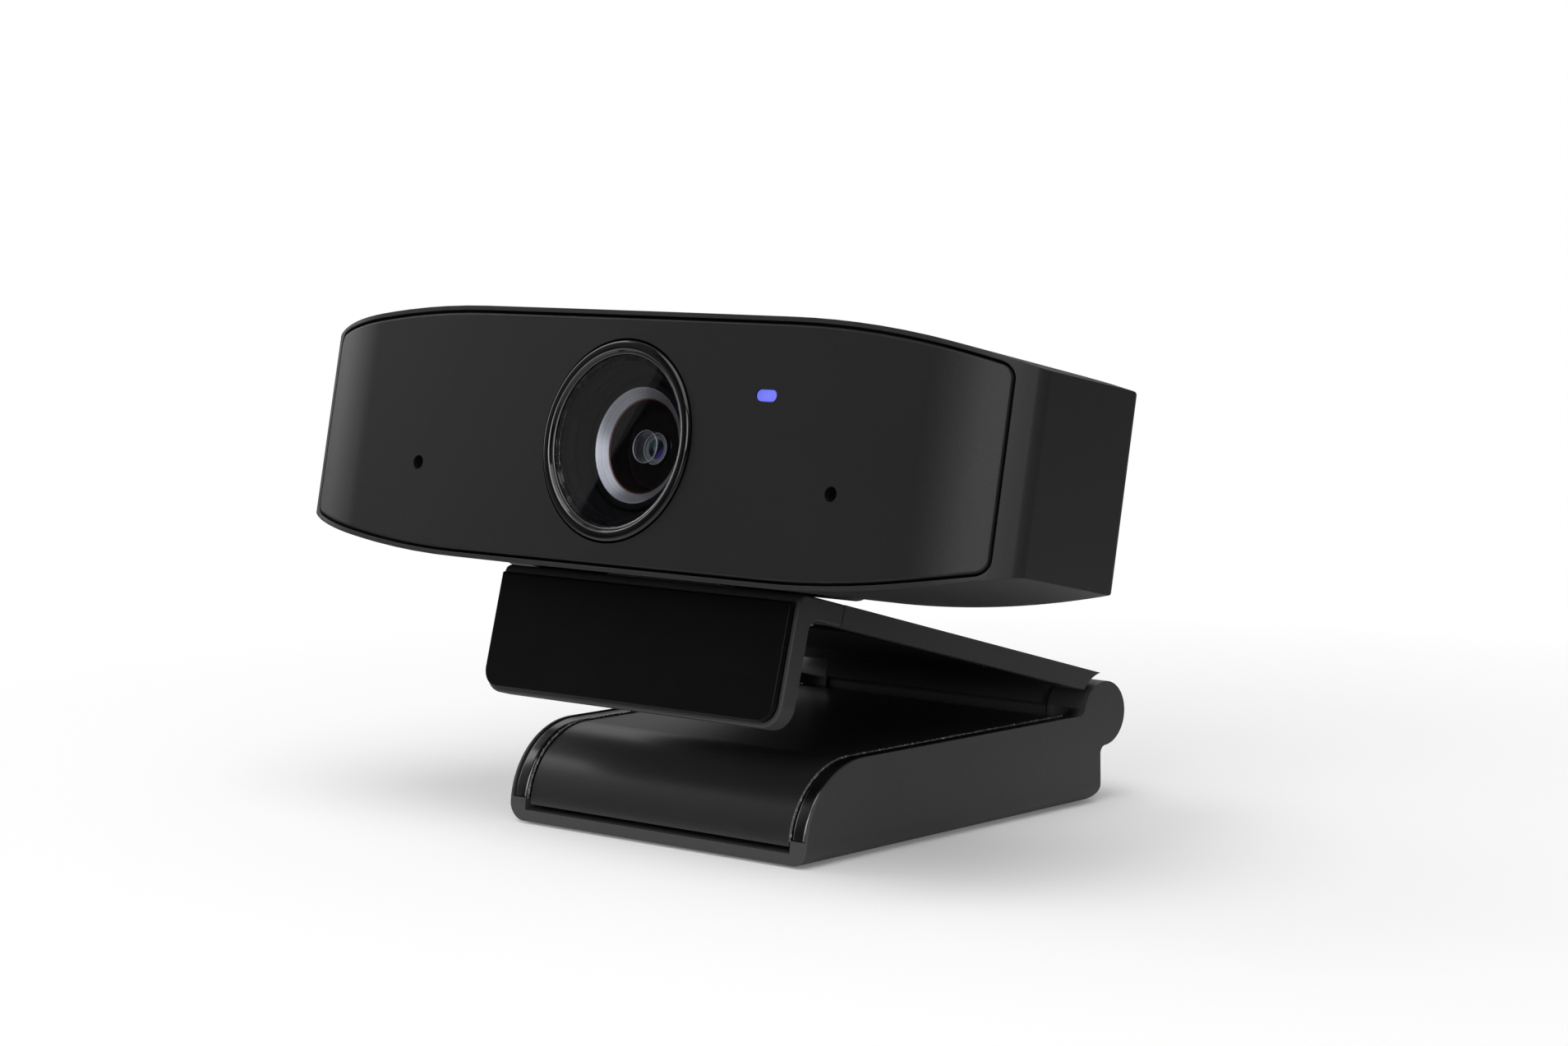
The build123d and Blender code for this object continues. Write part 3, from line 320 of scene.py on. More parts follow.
def soften(bm, edges, width, steps):
    """Rounds edges."""
    bmesh.ops.bevel(bm, geom=edges, offset=width, segments=steps, profile=0.5, affect="EDGES",
                    clamp_overlap=True, offset_type="OFFSET", miter_outer="ARC")


def softened_node(name, node, width, material, body):
    """A node's own shape with its outside edges rounded, in its place."""
    bm = merged_copy(node)
    soften(bm, outside_edges(bm), width, bpy.context.scene.webcam_edges.steps)
    return dressed(name, mesh_from(bm, name), [material], body, [node])


def rounded(corners, steps=4):
    """A closed outline from (radius, depth, rounding) corners, each rounding as a short curve."""
    outline = []
    for index, corner in enumerate(corners):
        here = Vector(corner[:2])
        before = Vector(corners[index - 1][:2])
        after = Vector(corners[(index + 1) % len(corners)][:2])
        reach = min(corner[2], (before - here).length / 2, (after - here).length / 2)
        if reach <= 0:
            outline.append(here)
            continue
        start = here + (before - here).normalized() * reach
        end = here + (after - here).normalized() * reach
        for step in range(steps + 1):
            share = step / steps
            outline.append(start * (1 - share) ** 2 + here * 2 * share * (1 - share) + end * share ** 2)
    return outline


def turned(outline, steps, pick=None):
    """A closed outline of (radius, depth) points turned about the lens axis. Pick gives a face's material."""
    bm = bmesh.new()
    rings = []
    for step in range(steps):
        turn = 2 * pi * step / steps
        rings.append([bm.verts.new((r * cos(turn), depth, r * sin(turn))) for r, depth in outline])
    for step, ring in enumerate(rings):
        beside = rings[(step + 1) % steps]
        for index in range(len(outline)):
            following = (index + 1) % len(outline)
            if max(outline[index][0], outline[following][0]) < MERGE:
                continue
            corners = [ring[index], ring[following], beside[following], beside[index]]
            face = bm.faces.new(corners)
            if pick:
                face.material_index = pick(outline[index], outline[following])
    bmesh.ops.remove_doubles(bm, verts=bm.verts, dist=MERGE)
    return bm


def together(shapes):
    """Several bmeshes as one."""
    whole = bmesh.new()
    for shape in shapes:
        part = bpy.data.meshes.new("part")
        shape.to_mesh(part)
        shape.free()
        whole.from_mesh(part)
        bpy.data.meshes.remove(part)
    return whole


def local_box(node, place):
    """A node's lowest and highest corners, measured in the head's or the arm's own frame."""
    back = place.inverted()
    points = [back @ vert.co for vert in frame["nodes"][node].data.vertices]
    return [Vector(pick(point[axis] for point in points) for axis in range(3)) for pick in (min, max)]


# Shader helpers

NOISE_SPAN = (0.25, 0.75)
FINE_SHARE = 0.6
DRIFT_SCALE = 55.0
ROUGHNESS_DRIFT = 0.2
SMEAR_SPAN = (0.45, 0.75)
SMEAR_DISTORTION = 0.7
RIPPLES_PER_SMEAR = 6.0
LINE_STRETCH = (0.04, 1.0, 1.0)
BRUSHED_TONES = (0.75, 1.2)
TURNED_TONES = (0.7, 1.3)


def feed(tree, socket, value):
    """Links an output to a socket, or sets a plain value on it."""
    if isinstance(value, bpy.types.NodeSocket):
        tree.links.new(value, socket)
    else:
        socket.default_value = value


def add(tree, kind, inputs=None, **settings):
    """Adds a node with its settings and inputs."""
    made = tree.nodes.new(kind)
    for key, value in settings.items():
        setattr(made, key, value)
    for key, value in (inputs or {}).items():
        feed(tree, made.inputs[key], value)
    return made


def calculate(tree, operation, *values):
    """One sum on numbers."""
    made = add(tree, "ShaderNodeMath", operation=operation)
    for socket, value in zip(made.inputs, values):
        feed(tree, socket, value)
    return made.outputs["Value"]


def spread(tree, value, low, high, first=0.0, last=1.0):
    """Takes a value from one span to another."""
    inputs = {"Value": value, "From Min": first, "From Max": last, "To Min": low, "To Max": high}
    return add(tree, "ShaderNodeMapRange", inputs).outputs["Result"]


def noise(tree, place, scale, detail=2.0, distortion=0.0):
    """Soft noise, from about 0.25 to 0.75."""
    inputs = {"Vector": place, "Scale": scale, "Detail": detail, "Distortion": distortion}
    return add(tree, "ShaderNodeTexNoise", inputs).outputs["Fac"]


def shaded(tree, tint, factor):
    """A colour made lighter or darker by a factor."""
    inputs = {"Vector": tint, "Scale": factor}
    return add(tree, "ShaderNodeVectorMath", inputs, operation="SCALE").outputs["Vector"]


def distance(tree, place):
    """How far a place lies from the origin."""
    return add(tree, "ShaderNodeVectorMath", {0: place}, operation="LENGTH").outputs["Value"]


def tinted(tree, factor, first, second):
    """A colour between two others."""
    made = add(tree, "ShaderNodeMix", {"Factor": factor}, data_type="RGBA")
    sockets = {socket.identifier: socket for socket in [*made.inputs, *made.outputs]}
    feed(tree, sockets["A_Color"], first)
    feed(tree, sockets["B_Color"], second)
    return sockets["Result_Color"]


def shader_group(name, inputs, outputs):
    """An empty shader group with its named sockets, and its two ends."""
    tree = bpy.data.node_groups.new(name, "ShaderNodeTree")
    for label, kind in inputs.items():
        tree.interface.new_socket(label, in_out="INPUT", socket_type="NodeSocket" + kind)
    for label, kind in outputs.items():
        tree.interface.new_socket(label, in_out="OUTPUT", socket_type="NodeSocket" + kind)
    return tree, add(tree, "NodeGroupInput").outputs, add(tree, "NodeGroupOutput").inputs


@cache
def moulded_grain():
    """Fine spark-eroded grain with a slow drift in tone."""
    tree, given, result = shader_group(
        "moulded_grain",
        {"Place": "Vector", "Colour": "Color", "Scale": "Float", "Roughness": "Float", "Unevenness": "Float"},
        {"Colour": "Color", "Roughness": "Float", "Height": "Float"})
    fine = noise(tree, given["Place"], given["Scale"], 3.0)
    broad = noise(tree, given["Place"], DRIFT_SCALE, 3.0)
    slow = calculate(tree, "MULTIPLY", broad, 1 - FINE_SHARE)
    drift = calculate(tree, "MULTIPLY_ADD", fine, FINE_SHARE, slow)
    change = calculate(tree, "MULTIPLY", calculate(tree, "SUBTRACT", drift, 0.5), given["Unevenness"])
    feed(tree, result["Colour"], shaded(tree, given["Colour"], calculate(tree, "ADD", change, 1.0)))
    rough = calculate(tree, "MULTIPLY_ADD", change, ROUGHNESS_DRIFT, given["Roughness"])
    feed(tree, result["Roughness"], rough)
    feed(tree, result["Height"], fine)
    return tree


@cache
def handling_smudge():
    """Faint smears and fine ripples of a polished surface."""
    tree, given, result = shader_group(
        "handling_smudge",
        {"Place": "Vector", "Scale": "Float", "Clean": "Float", "Smeared": "Float"},
        {"Roughness": "Float", "Smear": "Float", "Height": "Float"})
    cloud = noise(tree, given["Place"], given["Scale"], 4.0, SMEAR_DISTORTION)
    smear = spread(tree, cloud, 0.0, 1.0, *SMEAR_SPAN)
    feed(tree, result["Roughness"], spread(tree, smear, given["Clean"], given["Smeared"]))
    feed(tree, result["Smear"], smear)
    ripples = calculate(tree, "MULTIPLY", given["Scale"], RIPPLES_PER_SMEAR)
    feed(tree, result["Height"], noise(tree, given["Place"], ripples))
    return tree


def lined(tree, given, result, lines, tones, roughening):
    """Ends a group of fine lines, which change the colour, the roughness and the height."""
    feed(tree, result["Colour"], shaded(tree, given["Colour"], spread(tree, lines, *tones, *NOISE_SPAN)))
    feed(tree, result["Roughness"], calculate(tree, "MULTIPLY_ADD", lines, roughening, given["Roughness"]))
    feed(tree, result["Height"], lines)
    return tree


@cache
def brushed_lines():
    """Fine lines along X, for rolled and plated metal."""
    tree, given, result = shader_group(
        "brushed_lines",
        {"Place": "Vector", "Colour": "Color", "Scale": "Float", "Roughness": "Float"},
        {"Colour": "Color", "Roughness": "Float", "Height": "Float"})
    drawn = add(tree, "ShaderNodeMapping", {"Vector": given["Place"], "Scale": LINE_STRETCH})
    lines = noise(tree, drawn.outputs["Vector"], given["Scale"], 3.0)
    return lined(tree, given, result, lines, BRUSHED_TONES, 0.2)


@cache
def turned_lines():
    """Fine rings about the lens axis, left by the lathe."""
    tree, given, result = shader_group(
        "turned_lines",
        {"Place": "Vector", "Colour": "Color", "Pitch": "Float", "Roughness": "Float"},
        {"Colour": "Color", "Roughness": "Float", "Height": "Float"})
    flat = add(tree, "ShaderNodeVectorMath", {0: given["Place"], 1: (1, 0, 1)}, operation="MULTIPLY")
    radius = distance(tree, flat.outputs["Vector"])
    count = calculate(tree, "DIVIDE", radius, given["Pitch"])
    rings = add(tree, "ShaderNodeTexNoise", {"W": count, "Scale": 1.0, "Detail": 2.0}, noise_dimensions="1D")
    return lined(tree, given, result, rings.outputs["Fac"], TURNED_TONES, 0.15)


# Finishes

BLACKENED = (0.03, 0.03, 0.03)
# Painted highlight: lighter metal for the ring's two fine lines, where its rounded edges catch the light.
RING_HIGHLIGHT_GREY = (0.16, 0.16, 0.165)
EDGE_BROWN = (0.10, 0.022, 0.012)
SLOPE_BROWN = (0.260, 0.235, 0.215)
RIM_GREY = (0.380, 0.360, 0.345)
# Near-white metal of the ring at the clear cap's edge, a painted highlight.
CAP_HIGHLIGHT_WHITE = (0.90, 0.90, 0.92)
INNER_DARK = (0.020, 0.024, 0.030)
GLASS_CLEAN = (0.80, 0.82, 0.86, 1)
GLASS_SMEARED = (0.70, 0.72, 0.76, 1)
GLASS_SHADOW = (0.82, 0.84, 0.88, 1)
WINDOW_IOR = 1.46
PUPIL_DARK = (0.004, 0.004, 0.006, 1)
# Painted glints of the inner element: green towards its upper left, purple towards its lower right, laid out by
# place.
PUPIL_GREEN_GLINT = (0.020, 0.085, 0.066, 1)
GREEN_GLINT_SPAN = (-0.95 * MM, -0.45 * MM)
PURPLE_GLINT_SPAN = (0.35 * MM, 0.95 * MM)
SMUDGE_SCALE = 160.0
BRUSHED_DEPTH = 0.004 * MM
RING_PITCH = 0.12 * MM
LIGHT_STRENGTH = 0.55


def finish(name):
    """A new material with one shader, its tree and the place on the piece."""
    material = bpy.data.materials.new(name)
    material.use_nodes = True
    tree = material.node_tree
    tree.nodes.clear()
    shader = add(tree, "ShaderNodeBsdfPrincipled")
    add(tree, "ShaderNodeOutputMaterial", {"Surface": shader.outputs["BSDF"]})
    return material, tree, shader, add(tree, "ShaderNodeTexCoord").outputs["Object"]


def head_place(tree, place):
    """The place on the piece, measured from the lens axis."""
    turn = HEAD.to_euler()
    inputs = {"Vector": place, "Location": HEAD.translation, "Rotation": turn}
    return add(tree, "ShaderNodeMapping", inputs, vector_type="TEXTURE").outputs["Vector"]


def use_group(tree, group, inputs):
    """Places a shader group with its own values."""
    return add(tree, "ShaderNodeGroup", inputs, node_tree=group).outputs


def raised(tree, shader, height, depth):
    """Gives a shader a bump of a real depth."""
    bump = add(tree, "ShaderNodeBump", {"Height": height, "Distance": depth, "Strength": 1.0})
    feed(tree, shader.inputs["Normal"], bump.outputs["Normal"])


def opaque(tint):
    """A colour with full alpha."""
    return (*tint, 1.0)


def satin(name, tint, roughness, scale, depth, shine, unevenness=0.5):
    """Moulded plastic with a fine grain."""
    material, tree, shader, place = finish(name)
    grain = use_group(tree, moulded_grain(), {
        "Place": place, "Colour": opaque(tint), "Scale": scale, "Roughness": roughness,
        "Unevenness": unevenness})
    feed(tree, shader.inputs["Base Color"], grain["Colour"])
    feed(tree, shader.inputs["Roughness"], grain["Roughness"])
    shader.inputs["Specular IOR Level"].default_value = shine
    raised(tree, shader, grain["Height"], depth)
    return material


def polished(name, tint, clean, smeared, ripple, shine=0.5, haze=1.6):
    """Polished plastic with faint smears."""
    material, tree, shader, place = finish(name)
    smudge = use_group(tree, handling_smudge(), {
        "Place": place, "Scale": SMUDGE_SCALE, "Clean": clean, "Smeared": smeared})
    hazed = tinted(tree, smudge["Smear"], opaque(tint), opaque(Vector(tint) * haze))
    feed(tree, shader.inputs["Base Color"], hazed)
    feed(tree, shader.inputs["Roughness"], smudge["Roughness"])
    shader.inputs["Specular IOR Level"].default_value = shine
    raised(tree, shader, smudge["Height"], ripple)
    return material


def brushed(name, tint, roughness, scale=3000.0):
    """Bare metal with fine lines."""
    material, tree, shader, place = finish(name)
    lines = use_group(tree, brushed_lines(), {
        "Place": place, "Colour": opaque(tint), "Scale": scale, "Roughness": roughness})
    feed(tree, shader.inputs["Base Color"], lines["Colour"])
    feed(tree, shader.inputs["Roughness"], lines["Roughness"])
    shader.inputs["Metallic"].default_value = 1.0
    raised(tree, shader, lines["Height"], BRUSHED_DEPTH)
    return material


def lathe_turned(name, tint, roughness, metallic, depth, shine=0.5):
    """A turned surface round the lens axis."""
    material, tree, shader, place = finish(name)
    lines = use_group(tree, turned_lines(), {
        "Place": head_place(tree, place), "Colour": opaque(tint), "Pitch": RING_PITCH,
        "Roughness": roughness})
    feed(tree, shader.inputs["Base Color"], lines["Colour"])
    feed(tree, shader.inputs["Roughness"], lines["Roughness"])
    shader.inputs["Metallic"].default_value = metallic
    shader.inputs["Specular IOR Level"].default_value = shine
    raised(tree, shader, lines["Height"], depth)
    return material


def tints():
    """The colours that are set for the finishes."""
    return bpy.context.scene.webcam_finish


@cache
def panel_satin():
    """Front panel."""
    return satin("panel_satin", tints().panel, roughness=0.46, scale=4200.0, depth=0.010 * MM, shine=0.38)


@cache
def shell_satin():
    """Back shell."""
    return satin("shell_satin", tints().shell, roughness=0.44, scale=3600.0, depth=0.008 * MM, shine=0.22)


@cache
def clip_satin():
    """Arm and lip."""
    return satin("clip_satin", tints().clip, roughness=0.48, scale=3000.0, depth=0.012 * MM, shine=0.22)


@cache
def leg_satin():
    """Leg."""
    return satin("leg_satin", tints().leg, roughness=0.44, scale=3400.0, depth=0.008 * MM, shine=0.30)


@cache
def cover_satin():
    """Curved cover of the leg, a little smoother."""
    return satin("cover_satin", tints().cover, roughness=0.30, scale=3400.0, depth=0.005 * MM, shine=0.45)


@cache
def rubber():
    """Pads and foot."""
    return satin("rubber", tints().rubber, roughness=0.82, scale=2200.0, depth=0.020 * MM, shine=0.1,
                 unevenness=0.8)


@cache
def liner():
    """Dull black behind the window."""
    return satin("liner", tints().liner, roughness=0.50, scale=2600.0, depth=0.004 * MM, shine=0.05,
                 unevenness=0.6)


@cache
def gloss_black():
    """Ring round the window."""
    return polished("gloss_black", tints().gloss, clean=0.07, smeared=0.14, ripple=0.0008 * MM)


@cache
def trim_gloss():
    """Edge beads of the leg."""
    return polished("trim_gloss", tints().gloss, clean=0.20, smeared=0.30, ripple=0.0012 * MM, shine=1.0)


@cache
def lip_gloss():
    """Smooth front of the lip."""
    return polished("lip_gloss", tints().gloss, clean=0.28, smeared=0.30, ripple=0.0004 * MM, shine=0.08,
                    haze=1.1)


@cache
def groove_sparkle():
    """Rough strip beside the beads."""
    return satin("groove_sparkle", tints().sparkle, roughness=0.18, scale=5200.0, depth=0.05 * MM, shine=1.0,
                 unevenness=1.6)


@cache
def steel():
    """Pins, screws and hinge plates."""
    return brushed("steel", tints().steel, roughness=0.28)


@cache
def blackened_steel():
    """Washers of the fold hinge."""
    return brushed("blackened_steel", BLACKENED, roughness=0.4)


@cache
def tin():
    """Socket and shield."""
    return brushed("tin", tints().tin, roughness=0.22, scale=2200.0)


@cache
def brass():
    """Threaded insert."""
    return brushed("brass", tints().brass, roughness=0.24)


@cache
def bright_line():
    """Painted highlight: a lighter metal on the fine lines inside the ring's crest, where its rounded edges catch
    the light.
    """
    return lathe_turned("bright_line", RING_HIGHLIGHT_GREY, roughness=0.24, metallic=1.0, depth=0.001 * MM)


@cache
def bevel_silver():
    """Bright bevel of the barrel."""
    return lathe_turned("bevel_silver", tints().bevel, roughness=0.34, metallic=1.0, depth=0.003 * MM)


@cache
def bowl_black():
    """Bowl of the barrel."""
    return lathe_turned("bowl_black", tints().bowl, roughness=0.45, metallic=0.0, depth=0.003 * MM,
                        shine=0.05)


@cache
def barrel_black():
    """Outside of the barrel."""
    return lathe_turned("barrel_black", tints().liner, roughness=0.45, metallic=0.0, depth=0.003 * MM,
                        shine=0.06)


@cache
def bowl_edge():
    """Red-brown mouth of the bowl."""
    return lathe_turned("bowl_edge", EDGE_BROWN, roughness=0.35, metallic=0.2, depth=0.002 * MM)


@cache
def dull_slope():
    """Dull brown-grey of the slope round the pupil."""
    return lathe_turned("dull_slope", SLOPE_BROWN, roughness=0.55, metallic=0.0, depth=0.002 * MM, shine=0.2)


@cache
def grey_rim():
    """Grey rim of the inner element."""
    return lathe_turned("grey_rim", RIM_GREY, roughness=0.40, metallic=0.0, depth=0.002 * MM)


@cache
def bright_edge_metal():
    """Painted highlight: a near-white metal ring at the clear cap's edge, where the glass rim's reflection falls.
    """
    return lathe_turned("bright_edge_metal", CAP_HIGHLIGHT_WHITE, roughness=0.34, metallic=1.0, depth=0.001 * MM)


@cache
def window_glass():
    """Clear glass that lets the lamps through to the lens, with faint smears."""
    material, tree, shader, place = finish("window_glass")
    smudge = use_group(tree, handling_smudge(), {
        "Place": place, "Scale": 190.0, "Clean": 0.0, "Smeared": 0.004})
    feed(tree, shader.inputs["Roughness"], smudge["Roughness"])
    feed(tree, shader.inputs["Base Color"], tinted(tree, smudge["Smear"], GLASS_CLEAN, GLASS_SMEARED))
    shader.inputs["Transmission Weight"].default_value = 1.0
    shader.inputs["IOR"].default_value = WINDOW_IOR
    clear = add(tree, "ShaderNodeBsdfTransparent", {"Color": GLASS_SHADOW})
    path = add(tree, "ShaderNodeLightPath")
    both = add(tree, "ShaderNodeMixShader", {
        0: path.outputs["Is Shadow Ray"], 1: shader.outputs["BSDF"], 2: clear.outputs["BSDF"]})
    end = next(node for node in tree.nodes if node.type == "OUTPUT_MATERIAL")
    feed(tree, end.inputs["Surface"], both.outputs["Shader"])
    return material


@cache
def coated_glass():
    """Dark coated glass of the inner lens, with a painted green glint at its upper left and a painted purple glint
    at its lower right.
    """
    material, tree, shader, place = finish("coated_glass")
    # Painted glints, set by place on the head and not by the lamps: green at the upper left, purple at the lower
    # right.
    parts = add(tree, "ShaderNodeSeparateXYZ", {"Vector": head_place(tree, place)}).outputs
    slant = calculate(tree, "SUBTRACT", parts["X"], parts["Z"])
    green = spread(tree, slant, 1.0, 0.0, *GREEN_GLINT_SPAN)
    purple = spread(tree, slant, 0.0, 1.0, *PURPLE_GLINT_SPAN)
    dark = tinted(tree, green, PUPIL_DARK, PUPIL_GREEN_GLINT)
    feed(tree, shader.inputs["Base Color"], tinted(tree, purple, dark, opaque(tints().painted_purple_glint)))
    smudge = use_group(tree, handling_smudge(), {
        "Place": place, "Scale": 300.0, "Clean": 0.05, "Smeared": 0.09})
    feed(tree, shader.inputs["Roughness"], smudge["Roughness"])
    return material


@cache
def inner_glass():
    """Glass that lies inside the lens."""
    return polished("inner_glass", INNER_DARK, clean=0.05, smeared=0.09, ripple=0.0004 * MM)


@cache
def light_blue():
    """Status light, with a faint cloud in it."""
    material, tree, shader, place = finish("light_blue")
    cloud = noise(tree, place, 900.0, 2.0)
    tint = tints().light
    glow = tinted(tree, spread(tree, cloud, 0.0, 1.0, 0.3, 0.7), opaque(Vector(tint) * 0.85), opaque(tint))
    feed(tree, shader.inputs["Base Color"], glow)
    feed(tree, shader.inputs["Emission Color"], glow)
    feed(tree, shader.inputs["Roughness"], spread(tree, cloud, 0.22, 0.34))
    shader.inputs["Emission Strength"].default_value = LIGHT_STRENGTH
    return material


@cache
def board_green():
    """Solder mask with pale tracks."""
    material, tree, shader, place = finish("board_green")
    tracks = add(tree, "ShaderNodeTexBrick", {"Vector": place, "Scale": 260.0, "Mortar Size": 0.06})
    tint = tints().board
    lighter = opaque(Vector(tint) * 1.8)
    feed(tree, shader.inputs["Base Color"], tinted(tree, tracks.outputs["Fac"], opaque(tint), lighter))
    feed(tree, shader.inputs["Roughness"], spread(tree, noise(tree, place, 700.0), 0.28, 0.42))
    raised(tree, shader, tracks.outputs["Fac"], 0.02 * MM)
    return material


@cache
def chip_dark():
    """Image sensor."""
    return polished("chip_dark", tints().chip, clean=0.12, smeared=0.22, ripple=0.0006 * MM)


# Lens pieces

RING_LINE = 0.06 * MM
SEAT_FIT = 0.05 * MM
STOP_RADIUS = 1.2 * MM
BARREL_EDGE = 0.1 * MM
ELEMENT_EDGE = 0.05 * MM
CAP_EDGE_SHARE = 0.6


def bowl_bottom(lens):
    """Depth of the bowl's floor."""
    return lens.barrel_front + lens.bevel_depth + lens.bowl_depth


def lens_ring(lens):
    """Glossy ring with a double line inside its crest that is given a lighter metal as a painted highlight, held
    by a flange behind the panel.
    """
    high = local_box("lens_ring", HEAD)[1]
    inside = lens.ring_radius - lens.ring_width
    crest = -lens.ring_proud
    nose = lens.ring_width / 3
    line = RING_LINE
    outline = rounded([
        (inside, lens.ring_depth, 0),
        (inside, lens.window_front - 2 * line, line),
        (inside + 3 * line, lens.window_front - 3 * line, line),
        (inside + 4 * line, lens.window_front - 2 * line, line),
        (inside + nose, crest, 2 * line),
        (lens.ring_radius - nose / 2, crest, 4 * line),
        (lens.ring_radius, crest + nose / 2, 2 * line),
        (lens.ring_radius, high.y - 4 * line, 0),
        (high.x, high.y - 2 * line, 0),
        (high.x, high.y, 0),
    ])

    def finish_of(first, second):
        """Painted highlight metal on the two fine lines, glossy elsewhere."""
        middle = (first + second) / 2
        on_inner = abs(middle.x - inside - 2 * line) < 1.7 * line and middle.y < lens.window_front
        on_outer = abs(middle.x - inside - nose) < 1.1 * line and middle.y < 0
        # Faces on the two fine lines take the painted highlight metal.
        return int(on_inner or on_outer)

    ring = mesh_from(turned(outline, lens.steps, finish_of), "lens_ring_visual", HEAD)
    dressed("lens_ring_visual", ring, [gloss_black(), bright_line()], "head", ["lens_ring"])


def lens_window(lens):
    """Flat clear window with ground edges."""
    radius = local_box("lens_window", HEAD)[1].x
    back = lens.window_front + lens.window_thick
    edge = lens.window_thick / 8
    outline = rounded([
        (0, lens.window_front, 0), (radius, lens.window_front, edge), (radius, back, edge), (0, back, 0),
    ])
    window = mesh_from(turned(outline, lens.steps), "lens_window_visual", HEAD)
    dressed("lens_window_visual", window, [window_glass()], "head", ["lens_window"])


def lens_stair(lens):
    """Dark stair from the window back to the barrel, with rounded noses that catch the light."""
    high = local_box("lens_shroud", HEAD)[1]
    mouth = local_box("lens_window", HEAD)[1].x
    back = lens.window_front + lens.window_thick
    first = mouth - lens.stair_wall
    second = first - lens.stair_step
    throat = lens.barrel_radius + lens.stair_step / 2
    nose = lens.stair_step / 5
    outline = rounded([
        (first, back, nose), (mouth, back, 0), (mouth, lens.ring_depth, 0), (high.x, lens.ring_depth, 0),
        (high.x, lens.ring_depth + lens.stair_wall, 0), (mouth, lens.ring_depth + lens.stair_wall, 0),
        (throat + lens.stair_wall, high.y, 0), (throat, high.y, 0), (throat, lens.barrel_front, nose),
        (second, back + 2.5 * lens.stair_step, nose), (second, back + 2 * lens.stair_step, nose),
        (first, back + lens.stair_step, nose),
    ])
    stair = mesh_from(turned(outline, lens.steps), "lens_stair_visual", HEAD)
    dressed("lens_stair_visual", stair, [liner()], "head", ["lens_shroud"])


def lens_barrel(lens):
    """Barrel with its bright bevel and its dark bowl."""
    high = local_box("lens_barrel", HEAD)[1]
    rear = local_box("rear_element", HEAD)
    ledge = rear[0].y
    rear_seat = rear[1].x + SEAT_FIT
    seat = lens.element_radius + SEAT_FIT
    bowl_start = lens.barrel_front + lens.bevel_depth
    bowl_end = bowl_bottom(lens)
    seat_end = local_box("front_element", HEAD)[1].y
    edge = BARREL_EDGE
    outline = rounded([
        (lens.bevel_radius, lens.barrel_front, edge), (lens.barrel_radius, lens.barrel_front, 2 * edge),
        (lens.barrel_radius, lens.barrel_step, edge), (lens.shank_radius, lens.barrel_step, 0),
        (lens.shank_radius, high.y, 0), (rear_seat, high.y, 0), (rear_seat, ledge, 0),
        (STOP_RADIUS, ledge, 0), (STOP_RADIUS, seat_end, 0), (seat, seat_end, 0), (seat, bowl_end, edge / 2),
        (lens.bowl_floor, bowl_end, 2 * edge), (lens.bowl_radius, bowl_start, edge),
    ])

    def finish_of(first, second):
        """Bright on the bevel, red-brown at the bowl's mouth, dark elsewhere."""
        middle = (first + second) / 2
        if middle.y > bowl_end + edge or middle.x > lens.bevel_radius:
            return 0
        if middle.y < bowl_start - edge:
            return 1
        if middle.x > lens.bowl_floor and middle.y < bowl_start + 4 * edge:
            return 3
        return 2

    barrel = mesh_from(turned(outline, lens.steps, finish_of), "lens_barrel_visual", HEAD)
    finishes = [barrel_black(), bevel_silver(), bowl_black(), bowl_edge()]
    dressed("lens_barrel_visual", barrel, finishes, "head", ["lens_barrel"])


def front_element(lens):
    """Inner element with its grey rim, dull slope and coated pupil with painted glints, and a near-white metal
    ring as a painted highlight on its clear cap's edge.
    """
    low, high = local_box("front_element", HEAD)
    fine = ELEMENT_EDGE
    rim = low.y + fine
    pupil = rim + lens.dish_depth
    slope = lens.element_radius - lens.rim_width
    outline = rounded([
        (0, pupil - fine, 0), (lens.pupil_radius, pupil, 0), (lens.pupil_radius, pupil - 2 * fine, fine),
        (slope, rim + 3 * fine, fine), (slope, rim, fine), (lens.element_radius, rim, fine),
        (lens.element_radius, high.y, 0), (0, high.y, 0),
    ])

    def finish_of(first, second):
        """Coated glass with painted glints in the middle, dull on the slope, grey at the rim, black outside."""
        middle = (first + second) / 2
        if middle.x < lens.pupil_radius - fine / 2:
            return 0
        if middle.x < slope - fine / 2:
            return 1
        return 2 if middle.y < rim + 2 * fine else 4

    # A thin metal ring at the cap's front edge stands in as a painted highlight for the glass rim's reflection.
    cap_front = bowl_bottom(lens) - lens.cap_length
    width = CAP_EDGE_SHARE * lens.cap_wall
    inside = lens.cap_radius - width
    cap_highlight_ring = rounded([
        (inside, cap_front - width, fine), (lens.cap_radius, cap_front - width, fine),
        (lens.cap_radius, cap_front, fine), (inside, cap_front, fine),
    ])
    steps = lens.steps // 2
    shapes = [turned(outline, steps, finish_of), turned(cap_highlight_ring, steps, lambda *ends: 3)]
    element = mesh_from(together(shapes), "front_element_visual", HEAD)
    finishes = [coated_glass(), dull_slope(), grey_rim(), bright_edge_metal(), bowl_black()]
    dressed("front_element_visual", element, finishes, "head", ["front_element"])


